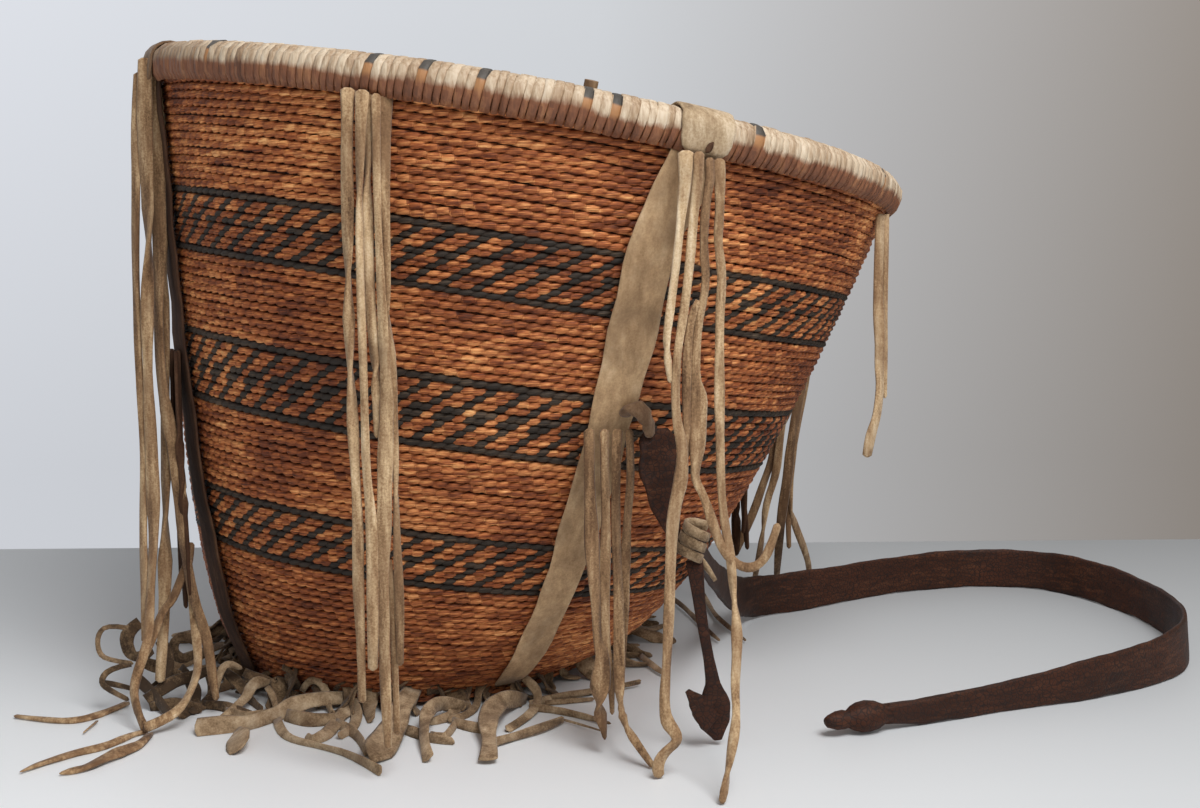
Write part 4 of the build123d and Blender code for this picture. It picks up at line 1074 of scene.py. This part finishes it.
# thongs laid one by one in front: widths, then the way each one takes
handLaid = [
    ([4.5, 5.5, 6.5, 6, 6.5, 7.5, 8], [(-18.5, -98, 3.7), (-35.2, -106.2, 7.1), (-48.4, -113.1, 5.4),
     (-55.4, -120.5, 2.4), (-64.6, -133.7, 2.6), (-76.2, -135.9, 3), (-88.8, -138.9, 3.2)]),
    ([3, 8.5, 9, 6], [(-69.7, -137, 1.8), (-66.6, -149.6, 3.4), (-63.9, -160.8, 3.6), (-63, -166.6, 2.4)]),
    ([3.5, 3.5, 3, 2.5, 3, 4], [(-54, -122.6, 1.6), (-48.9, -139.6, 1.6), (-40.6, -152, 1.6),
     (-25.4, -160.2, 1.6), (-8.4, -172.4, 1.7), (7, -193.5, 2.2)]),
    ([5, 5, 5, 5, 4, 2.5], [(-17.9, -102.4, 2), (-23.2, -115.7, 2), (-24.1, -133, 2), (-25.9, -149.4, 2),
     (-31.1, -154.8, 1.6), (-34.5, -146.7, 1.6)]),
    ([5.5, 6, 6, 5], [(-50.1, -120, 2.2), (-41.8, -126.6, 2.4), (-32.5, -129.6, 2.4), (-25.4, -125.8, 2)]),
    ([2.5, 2.8, 3, 3, 2.5, 2.5], [(-47, -95, 6.6), (-43.9, -96.6, 12.3), (-38.5, -98, 13.8),
     (-33.8, -100, 9.2), (-31.7, -106.9, 1.6), (-26.9, -117.4, 1.6)]),
    ([5, 7.5, 9, 11.5, 10, 3], [(12.8, -99, 11.6), (8.2, -118.9, 9.5), (7, -136.3, 6.4),
     (4.8, -158.5, 4.6), (3, -174.9, 4), (1.9, -180.1, 2.2)]),
    ([5, 6, 6.5, 5.5, 4], [(-2.6, -97, 15.8), (-8.4, -99.7, 13.6), (-10.6, -102.3, 8.2),
     (-11.2, -106.2, 2.2), (-7.4, -125.2, 1.6)]),
    ([2, 3.5, 4.5, 4.5, 3], [(-82.2, -121.9, 1.6), (-73.9, -102.2, 4.5), (-72.6, -98.1, 9.9),
     (-69.2, -95.1, 12.1), (-64.8, -92, 10)]),
    ([2.5, 2.5, 2], [(-64.5, -96, 9.2), (-59.4, -101.1, 6.1), (-56.7, -112.3, 1.6)]),
    ([2, 2.5, 3, 2.5, 2], [(-89.4, -100, 9.1), (-88.6, -96.1, 15.2), (-87.2, -93.1, 19.5),
     (-83.6, -90.8, 20.3), (-79.8, -88, 16.8)]),
    ([4, 5.5, 5.5, 5, 4, 3.5], [(2.8, -102, 1.7), (9.2, -99.1, 11.2), (16.2, -97.3, 13.6),
     (22, -95.6, 9.4), (27.3, -93.9, 4), (34.9, -99.5, 1.6)]),
    ([3.5, 5, 5.5, 5, 4, 4, 4.5], [(39.1, -107.2, 1.6), (30.2, -112.4, 5.5), (23.9, -126.7, 10),
     (21.3, -138.2, 9), (21.7, -150.9, 6.6), (23.1, -163.4, 4.3), (26.6, -178.2, 2.2)]),
    ([4.5, 6.5, 7.5, 8, 5.5, 5, 6.5], [(67.3, -97.8, 1.8), (60, -110.3, 7.2), (54, -124.4, 9.5),
     (51.1, -138.9, 8), (52.1, -153.2, 5.7), (53.9, -165.7, 3.9), (54.1, -181.1, 2.6)]),
    ([3, 3.5, 3.5, 3.5, 3], [(65.1, -92, 12.6), (71.9, -96.4, 8.7), (74, -100.3, 2.6), (70.4, -121.3, 1.6),
     (60.6, -139.4, 1.6)]),
    ([2.5, 3, 3, 3, 3], [(47.3, -94, 11.2), (42.8, -95.9, 7.7), (43.3, -102.7, 1.6), (39.3, -120.5, 1.6),
     (31.4, -126.1, 1.6)]),
    ([2.5, 3, 3, 2.5], [(23.8, -145.4, 1.6), (29.2, -150.9, 1.6), (33, -147, 1.6), (34.7, -129, 1.6)]),
    ([3.5, 3, 2.5, 1.5], [(56.5, -156.9, 1.6), (66.4, -147.8, 1.6), (75.9, -137, 1.6), (86.2, -124.6, 1.6)]),
    ([1, 0.8, 0.7], [(85.8, -126, 1.6), (95.1, -133.3, 1.6), (105.8, -144.9, 2.2)]),
    ([3.5, 3.5, 3.5, 2.5, 1], [(69.3, -109.4, 1.6), (77.4, -111.1, 1.6), (85.5, -115.8, 1.6),
     (97, -121.9, 1.6), (109.2, -133.9, 2.2)]),
    ([3, 3.5, 3, 2, 1.5], [(69.6, -103.4, 1.6), (84.9, -93, 1.6), (99.7, -85.4, 1.6), (112.7, -77.7, 1.6),
     (125.5, -70, 2.2)]),
    ([2, 2, 1.5], [(77.1, -102.1, 1.6), (87.1, -99.3, 1.6), (100.8, -96.5, 1.6)]),
    ([4, 4.5, 4], [(32.7, -129, 1.6), (41.3, -138.2, 1.8), (52.2, -142, 1.6)]),
    ([4, 4.5, 4.5, 4], [(8.4, -136.8, 1.6), (16.7, -145.8, 1.8), (27.8, -155.4, 1.8), (35.4, -156.4, 1.6)]),
    ([3, 4, 4.5, 4, 3], [(28.3, -93, 6.9), (31.5, -96.3, 1.6), (32.8, -115.1, 1.8), (29.5, -126, 1.6),
     (22, -128.7, 1.6)]),
    ([3.5, 4, 4, 3], [(-24.6, -127.6, 1.6), (-15.3, -139, 1.6), (-7.2, -154.1, 1.6), (-2.8, -170, 2.2)]),
    ([4, 4.5, 4.5], [(-62.4, -118, 1.6), (-54.5, -112.9, 1.8), (-44.5, -113.2, 1.8)]),
    ([3.5, 4.5, 4.5, 3], [(-81.8, -111.7, 1.6), (-73.2, -118.3, 1.8), (-64.5, -121.4, 1.8),
     (-58.7, -112.2, 1.6)]),
    ([4, 4.5, 4.5, 3.5, 3], [(-25.2, -94, 6.6), (-21.1, -97.8, 2.6), (-14.6, -119.8, 1.8),
     (-14.4, -139, 1.6), (-18.8, -147.1, 1.6)]),
    ([2.2], [(167.7, 137.6, 2.2), (170.6, 112, 3.4), (173.1, 83.5, 2.4), (175, 52.2, 3.4), (181.9, 27.1, 2.4),
     (188.5, 3.1, 2.2)]),
    ([2.2], [(148.7, 102.2, 2.2), (154.8, 82.9, 3.4), (162.7, 49.3, 2.4), (167.8, 20, 3.4), (173.5, 3.5, 2.2)]),
    ([2.6], [(127.3, -24.1, 2.2), (134.6, -51.7, 3.4), (141.1, -62, 2.2)]),
    ([3], [(52.6, -161, 2.2), (58.1, -159.1, 3.4), (67, -150.1, 2.4), (78.5, -142.1, 3.4), (86.8, -129.1, 2.2)]),
    ([2], [(73.4, -97.6, 2.2), (87, -95.2, 3.4), (100.2, -86.4, 2.4), (112.7, -83.2, 3.4), (125.4, -73.3, 2.2)]),
]
# the darker tangle at the left
darkLaid = [
    ([1.8, 1.9, 1.9, 1.8, 1.8, 1.7], [(-133.6, -96, 40.7), (-142.9, -99.8, 43.9), (-147.2, -102.5, 39),
     (-146.1, -105.5, 31.1), (-141.1, -107.7, 27.6), (-127.8, -112, 27.3)]),
    ([2, 2.2, 2.2, 2, 2], [(-132.4, -98, 22.5), (-141.7, -103.7, 22.2), (-145.2, -107.7, 16.8),
     (-141, -110.3, 13.5), (-129.4, -116, 10.2)]),
    ([2, 2, 2], [(-145.5, -104, 15.1), (-138.9, -105.7, 14.6), (-130.2, -108, 13.2)]),
    ([4.5, 5, 5, 4.5, 4.5, 4], [(-131.9, -82, 39.8), (-137.6, -84.3, 36.2), (-138.2, -86.5, 29.5),
     (-135.3, -88.4, 24.2), (-129.2, -90.2, 23.2), (-124.3, -92, 27.9)]),
    ([4, 4, 4, 4, 3.5, 3], [(-104.6, -78, 28.8), (-110.2, -79.6, 32.5), (-115.6, -81.2, 28.8),
     (-115, -82.8, 22.3), (-108.4, -84.4, 20.1), (-102.1, -86, 24.8)]),
    ([4, 4.5, 4.5, 4], [(-132.3, -84, 20.2), (-125.4, -86.5, 17.7), (-117.5, -89, 17.4),
     (-109.7, -92, 14.1)]),
    ([4.5, 5, 5, 4, 3.5], [(-123.8, -104, 5.6), (-117.8, -99.9, 9.4), (-110.8, -95.5, 13.1),
     (-101.9, -90.7, 13.6), (-93.7, -86, 16.2)]),
    ([4, 4.5, 4.5, 4], [(-133.2, -92, 14.3), (-124.1, -98.8, 10.1), (-116.3, -105.6, 5),
     (-108.2, -116.9, 1.6)]),
    ([4, 4.5, 5, 4.5, 4], [(-111.2, -86, 16.4), (-104.7, -91.7, 11.8), (-100.4, -97.3, 6.2),
     (-100.3, -105.8, 1.8), (-103.2, -117, 1.6)]),
    ([4, 5, 5.5, 4.5], [(-121.8, -104.7, 1.6), (-113.8, -104, 3.4), (-104.8, -104, 2.3),
     (-95.5, -108.9, 1.8)]),
    ([3.5, 4.5, 4.5, 4, 3], [(-98.4, -84, 15.6), (-93.3, -88.5, 10.7), (-92.4, -92.9, 4.7),
     (-95, -99.3, 1.6), (-98.8, -111.2, 1.6)]),
    ([4, 4.5, 4.5, 4], [(-95.2, -102.3, 1.6), (-87.9, -103.1, 1.8), (-78.3, -109.4, 1.8),
     (-68.3, -117.9, 1.6)]),
    ([3.5, 4, 4.5, 4, 3.5], [(-88.2, -84, 13.4), (-82.6, -86.4, 9.9), (-78, -88.8, 5.3),
     (-72.2, -96.8, 1.6), (-64.4, -109.1, 1.6)]),
    ([3.5, 4, 4, 3.5], [(-78.9, -84, 13.3), (-72.4, -85.8, 10.7), (-64.8, -87.7, 9.1), (-57.3, -90, 4.5)]),
    ([4, 4.5, 4.5, 4, 3], [(-122.1, -82, 30.1), (-117.1, -85.8, 24.9), (-115.2, -90, 17.7),
     (-118.3, -94.2, 11.7), (-123.4, -98, 8.8)]),
    ([3.5, 4, 4, 3], [(-59.3, -90, 5.6), (-53, -91.3, 2.7), (-45.2, -94.4, 1.6), (-37.3, -103.8, 1.6)]),
]
footThongs = bmesh.new()
footThongs.verts.layers.float.new("tone")


def curlThong(angle, reach, rise, width, bend, seed, tone):
    a = math.radians(angle)
    out, side = Vector((math.sin(a), -math.cos(a), 0)), Vector((math.cos(a), math.sin(a), 0))
    start = 92 + 3 * math.sin(seed)
    spots = [(0, 1.4, 0), (7, 3, 0), (14, rise * 0.8, 0.1), (reach * 0.45, rise, 0.35), (reach * 0.7, rise * 0.55, 0.65),
             (reach * 0.9, 3, 0.9), (reach, 1.5, 1.1), (reach + 6, 1.6, 1.35)]
    points = [out * (start + r) + side * (bend * t * reach * 0.5) + Vector((0, 0, z)) for r, z, t in spots]
    points = [p + side * float(rng.uniform(-1.6, 1.6)) for p in points]
    layThong(footThongs, points, [width * w for w in (1, 1, 1, 1.05, 1, 0.9, 0.7, 0.4)], Vector((0, 0, 1)), 1.6, False,
             float(rng.uniform(-1.2, 1.2)), tone)


for k in range(foot["count"]):
    angle = -180 + 360 * k / foot["count"] + float(rng.uniform(-3, 3))
    inFront = -80 < angle < 55
    reach = float(rng.uniform(14, 24)) if inFront else float(rng.uniform(26, 50))
    curlThong(angle, reach, float(rng.uniform(8, 20)), float(rng.uniform(5.5, 10)), float(rng.uniform(-1.0, 1.0)), k,
              float(rng.uniform(-0.45, -0.2)) if inFront else float(rng.uniform(-0.35, 0.1)))
for laid, low, high in ((handLaid, -0.12, 0.12), (darkLaid, -0.5, -0.25)):
    for widths, points in laid:
        if len(widths) == 1:
            widths = widths * (len(points) - 1) + [widths[0] * 0.5]
        layThong(footThongs, points, [w * foot["widen"] for w in widths], Vector((0.05, -0.96, 0.28)), 1.5, False, 0.25,
                 float(rng.uniform(low, high)))
for v in footThongs.verts:
    v.co.z = max(v.co.z, 0.25 + 0.04 * v.co.z)  # they lie on the table
bmesh.ops.scale(footThongs, verts=footThongs.verts, vec=(mm, mm, mm))
footPiece = makePiece("foot_thongs", footThongs, footHide, nodes=["foot_hide_fringe"])
print("foot fringe laid")


# carrying strap, swept along its route's spline
def makeStrap():
    route = [Vector(p) * mm for p in strapWork["route"]]
    line, (wide, thick, drop) = splineLine(route, [strapWork["width"], strapWork["thickness"], strapWork["drop"]], 10)
    places = []
    last = len(line) - 1
    up = Vector((0, 0, 1))
    for i, here in enumerate(line):
        along = line[min(i + 1, last)] - line[max(i - 1, 0)]
        face = along.cross(up)
        lean = 0.10 * math.sin(i * 0.11 + 0.5) + 0.05 * math.sin(i * 0.31)
        w = float(wide[i]) * (1 + 0.02 * math.sin(i * 0.7) + 0.012 * math.sin(i * 1.9))
        here = here - up * float(drop[i]) * mm  # its narrow end still rests on the table
        places.append(acrossLine(here, along, face, w / 2 * mm, float(thick[i]) / 2 * mm, lean))
    bm = sweepSection(places, sides=16, squareness=0.4)
    strap = makePiece("carrying_strap", bm, strapLeather, nodes=["strap_lead", "strap_band", "strap_neck"])
    length = sum((b - a).length for a, b in zip(line, line[1:]))
    return strap, line, length


strap, strapLine, strapLength = makeStrap()


def turnedLeather(name, start, direction, profile, material, nodes, squash=1.0):
    bm = bmesh.new()
    face = Vector((0, 0, 1)) if abs(direction.z) < 0.9 else Vector((1, 0, 0))
    places = []
    for k, (s, r) in enumerate(profile):
        places.append(acrossLine(start + direction * s, direction, face, max(r, 0.4), max(r * squash, 0.4), 0.5 * k))
    pourInto(bm, sweepSection(places, sides=12))
    for v in bm.verts:
        a = v.co.x * 0.9 + v.co.y * 1.3
        v.co.z += 0.35 * math.sin(a) * (1 if v.co.z > 4 else 0.2)
    bmesh.ops.scale(bm, verts=bm.verts, vec=(mm, mm, mm))
    return makePiece(name, bm, material, nodes=nodes)


knotStart = Vector((240, -140.3, 7.9))
knotWay = Vector((-0.94, -0.34, -0.01)).normalized()
knotShape = [(-4, 4.6), (-1, 4.8), (3, 6.6), (8, 7.4), (13, 7.0), (16.5, 5.6), (18.5, 4.2), (21, 4.4), (25, 4.3),
             (29, 3.2), (30.5, 1.8)]
knot = turnedLeather("strap_end_knot", knotStart, knotWay, knotShape, strapLeather, ["strap_knot"])


def flatLeather(name, points, widths, thickness, face, material, nodes, squareness=0.5, twist=0.0):
    bm = bmesh.new()
    line, (wide,) = splineLine([Vector(p) for p in points], [widths], 6)
    last = len(line) - 1
    places = []
    for i, here in enumerate(line):
        along = line[min(i + 1, last)] - line[max(i - 1, 0)]
        places.append(acrossLine(here, along, Vector(face), float(wide[i]) / 2, thickness / 2 * min(1, float(wide[i]) / 3),
                                 0.15 * math.sin(i * 0.8) + twist * i / last))
    pourInto(bm, sweepSection(places, sides=12, squareness=squareness))
    bmesh.ops.scale(bm, verts=bm.verts, vec=(mm, mm, mm))
    return makePiece(name, bm, material, nodes=nodes)


strapEnd = flatLeather("strap_end_leaf", [(131.6, -160, 150), (132, -161, 145), (132.8, -163, 130), (135.5, -165.5, 114),
                                          (138.5, -167, 105), (140.5, -167.8, 100)],
                       [11, 19, 20, 14, 8, 4], 3.4, (0.4, -0.9, 0.1), strapLeather, ["strap_end"])
strapTail = flatLeather("strap_tail_leaf", [(148, -173, 92), (150, -172, 74), (152, -171, 60), (155, -168.5, 44), (157, -166, 32),
                                            (158, -163, 22), (157.5, -161, 12), (160, -159, 3)],
                        [8, 6, 5, 5, 7, 15, 15, 4], 2.2, (0.2, -0.97, 0.1), strapLeather, ["strap_tail"], twist=0.3)
strapTorn = flatLeather("strap_tail_torn_flap", [(158.5, -163, 14), (153.5, -164.2, 18.5), (149.5, -165.6, 23.5), (147.6, -166.3, 26),
                                                 (145.2, -167, 29)],
                        [15, 13.5, 9, 5, 2.5], 2.0, (0.2, -0.97, 0.1), strapLeather, [])

# hide thong wound three times round the strap's end
tieWork = {"centre": (147.5, -172, 101), "radius": 6.4, "length": 15, "turns": 3, "wire": 4.6}


def makeTie():
    centre = Vector(tieWork["centre"])
    axis = Vector((0.35, 0.05, 1)).normalized()
    side = axis.orthogonal().normalized()
    other = axis.cross(side)
    points = []
    number = tieWork["turns"] * 12
    for i in range(number + 1):
        a = 2 * math.pi * i / 12
        r = tieWork["radius"] * (1 + 0.06 * math.sin(i * 1.1))
        points.append(centre + axis * (tieWork["length"] * (0.5 - i / number)) + (side * math.cos(a) + other * math.sin(a)) * r)
    points.append(points[-1] + Vector((5, -3, -5)))
    points.append(points[-1] + Vector((3, -1, -5)))
    line, (wide,) = splineLine(points, [[tieWork["wire"]] * (len(points) - 2) + [3.6, 2]], 3)
    last = len(line) - 1
    places = []
    for i, here in enumerate(line):
        along = line[min(i + 1, last)] - line[max(i - 1, 0)]
        places.append(acrossLine(here, along, here - centre - axis * (here - centre).dot(axis), float(wide[i]) / 2, 1.1))
    bm = bmesh.new()
    pourInto(bm, sweepSection(places, sides=8, squareness=0.8, groove=0.3))
    bmesh.ops.scale(bm, verts=bm.verts, vec=(mm, mm, mm))
    return makePiece("strap_tie_thong", bm, footHide, nodes=["strap_tie"])


strapTie = makeTie()
loopPiece = flatLeather("strap_hide_loop", [(117.4, -161, 157.2), (119.6, -166, 160.7), (123.1, -169, 160.6),
                                            (126.3, -168.5, 157), (128, -165.5, 152.4), (128.5, -163, 147.8)],
                        [6, 8.5, 9, 8.5, 7.5, 5], 4.2, (0.2, -0.3, 1), loopHide, ["strap_loop"],
                        squareness=0.8, twist=1.2)

print("strap laid", round(strapLength, 3))

# peeled rods bent inside, and the hoop under its binding, keep their modelled shape
for node in ("rib_rod_long", "rib_rod_cross", "rim_hoop"):
    rod = frame["nodes"][node]
    rod.data.materials.clear()
    rod.data.materials.append(peeledRod)

# table, backdrop and light
stage = {"tableColour": (0.90, 0.925, 0.945), "tableBack": 0.262, "key": 18.5, "fill": 0.8, "sky": 0.44}


def tableShadeMaterial(name, colour, roughness):
    material, tree, shader, place = startMaterial(name)
    grain = addNode(tree, "ShaderNodeTexNoise", Vector=place, Scale=3.0, Detail=2.0).outputs[0]
    shade = mixColours(tree, grain, [c * 0.97 for c in colour], [min(c * 1.02, 1) for c in colour])
    # painted shade: the table darkens towards the back, from 1.0 at y -0.22 m to 0.58 at y 0.26 m
    depth = addNode(tree, "ShaderNodeMapRange", Value=addNode(tree, "ShaderNodeSeparateXYZ", Vector=place).outputs[1])
    for socket, value in zip(list(depth.inputs)[1:5], (-0.22, 0.26, 1.0, 0.58)):
        socket.default_value = value
    shade = mixColours(tree, 1.0, shade, depth.outputs[0], "MULTIPLY")
    # painted light and shade: the table is brightened to 1.06 at the left (x -0.25 m) and darkened to 0.70 at the right
    # (x 0.45 m)
    across = addNode(tree, "ShaderNodeMapRange", Value=addNode(tree, "ShaderNodeSeparateXYZ", Vector=place).outputs[0])
    for socket, value in zip(list(across.inputs)[1:5], (-0.25, 0.45, 1.06, 0.70)):
        socket.default_value = value
    shade = mixColours(tree, 1.0, shade, across.outputs[0], "MULTIPLY")
    tree.links.new(shade, shader.inputs["Base Color"])
    shader.inputs["Roughness"].default_value = roughness
    shader.inputs["Specular IOR Level"].default_value = 0.25
    return material


table = bmesh.new()
bmesh.ops.create_grid(table, x_segments=1, y_segments=1, size=1)
bmesh.ops.scale(table, verts=table.verts, vec=(2.6, 1.6, 1))
bmesh.ops.translate(table, verts=table.verts, vec=(0, stage["tableBack"] - 1.6, 0))
bmesh.ops.solidify(table, geom=table.faces[:], thickness=0.04)
for v in table.verts:
    v.co.z = 0 if v.co.z > -0.01 and v.co.z <= 0.001 else -0.04
tableMesh = bpy.data.meshes.new("table")
table.to_mesh(tableMesh)
tableMesh.materials.append(tableShadeMaterial("pale_table", stage["tableColour"], 0.45))
tablePiece = bpy.data.objects.new("table", tableMesh)
bpy.context.collection.objects.link(tablePiece)

world = bpy.data.worlds.new("studio")
bpy.context.scene.world = world
world.use_nodes = True
tree = world.node_tree
background = tree.nodes["Background"]
lightPath = tree.nodes.new("ShaderNodeLightPath")
seenDirectly = doMath(tree, "MAXIMUM", lightPath.outputs["Is Camera Ray"],
                      doMath(tree, "MAXIMUM", lightPath.outputs["Is Glossy Ray"], lightPath.outputs["Is Transmission Ray"]))
direction = tree.nodes.new("ShaderNodeTexCoord").outputs["Generated"]
parts = addNode(tree, "ShaderNodeSeparateXYZ", Vector=direction)
# backdrop seen by the camera and in reflections: painted light, pale and bluish at the left, dark brown-grey at the
# right, multiplied darker low down
sweepAcross = addNode(tree, "ShaderNodeMapRange", Value=parts.outputs[0])
sweepAcross.inputs[1].default_value, sweepAcross.inputs[2].default_value = -0.42, 0.42
wall = colourRamp(tree, sweepAcross.outputs[0], [(0.0, (0.74, 0.765, 0.82)), (0.5, (0.635, 0.655, 0.685)),
                                                 (1.0, (0.283, 0.244, 0.209))])
lowShade = addNode(tree, "ShaderNodeMapRange", Value=parts.outputs[2])
for socket, value in zip(list(lowShade.inputs)[1:5], (-0.16, 0.13, 0.82, 1.0)):
    socket.default_value = value
wall = mixColours(tree, 1.0, wall, lowShade.outputs[0], "MULTIPLY")
side = addNode(tree, "ShaderNodeMapRange", Value=parts.outputs[0])
for socket, value in zip(list(side.inputs)[1:5], (-1.0, 1.0, 0.35, 1.15)):
    socket.default_value = value
tree.links.new(mixColours(tree, seenDirectly, side.outputs[0], wall), background.inputs["Color"])
strength = addNode(tree, "ShaderNodeMapRange", Value=seenDirectly)
strength.inputs[3].default_value, strength.inputs[4].default_value = stage["sky"], 1.0
tree.links.new(strength.outputs[0], background.inputs["Strength"])


def addLight(name, place, aim, size, power):
    data = bpy.data.lights.new(name, "AREA")
    data.shape = "SQUARE"
    data.size = size
    data.energy = power
    light = bpy.data.objects.new(name, data)
    light.location = place
    light.rotation_mode = "QUATERNION"
    light.rotation_quaternion = (Vector(aim) - Vector(place)).to_track_quat("-Z", "Y")
    bpy.context.collection.objects.link(light)


addLight("key", (0.52, -0.86, 1.3), (0.15, -0.2, 0.05), 0.7, stage["key"])
addLight("fill", (0.1, -1.4, 0.7), (0.0, 0, 0.15), 1.4, stage["fill"])
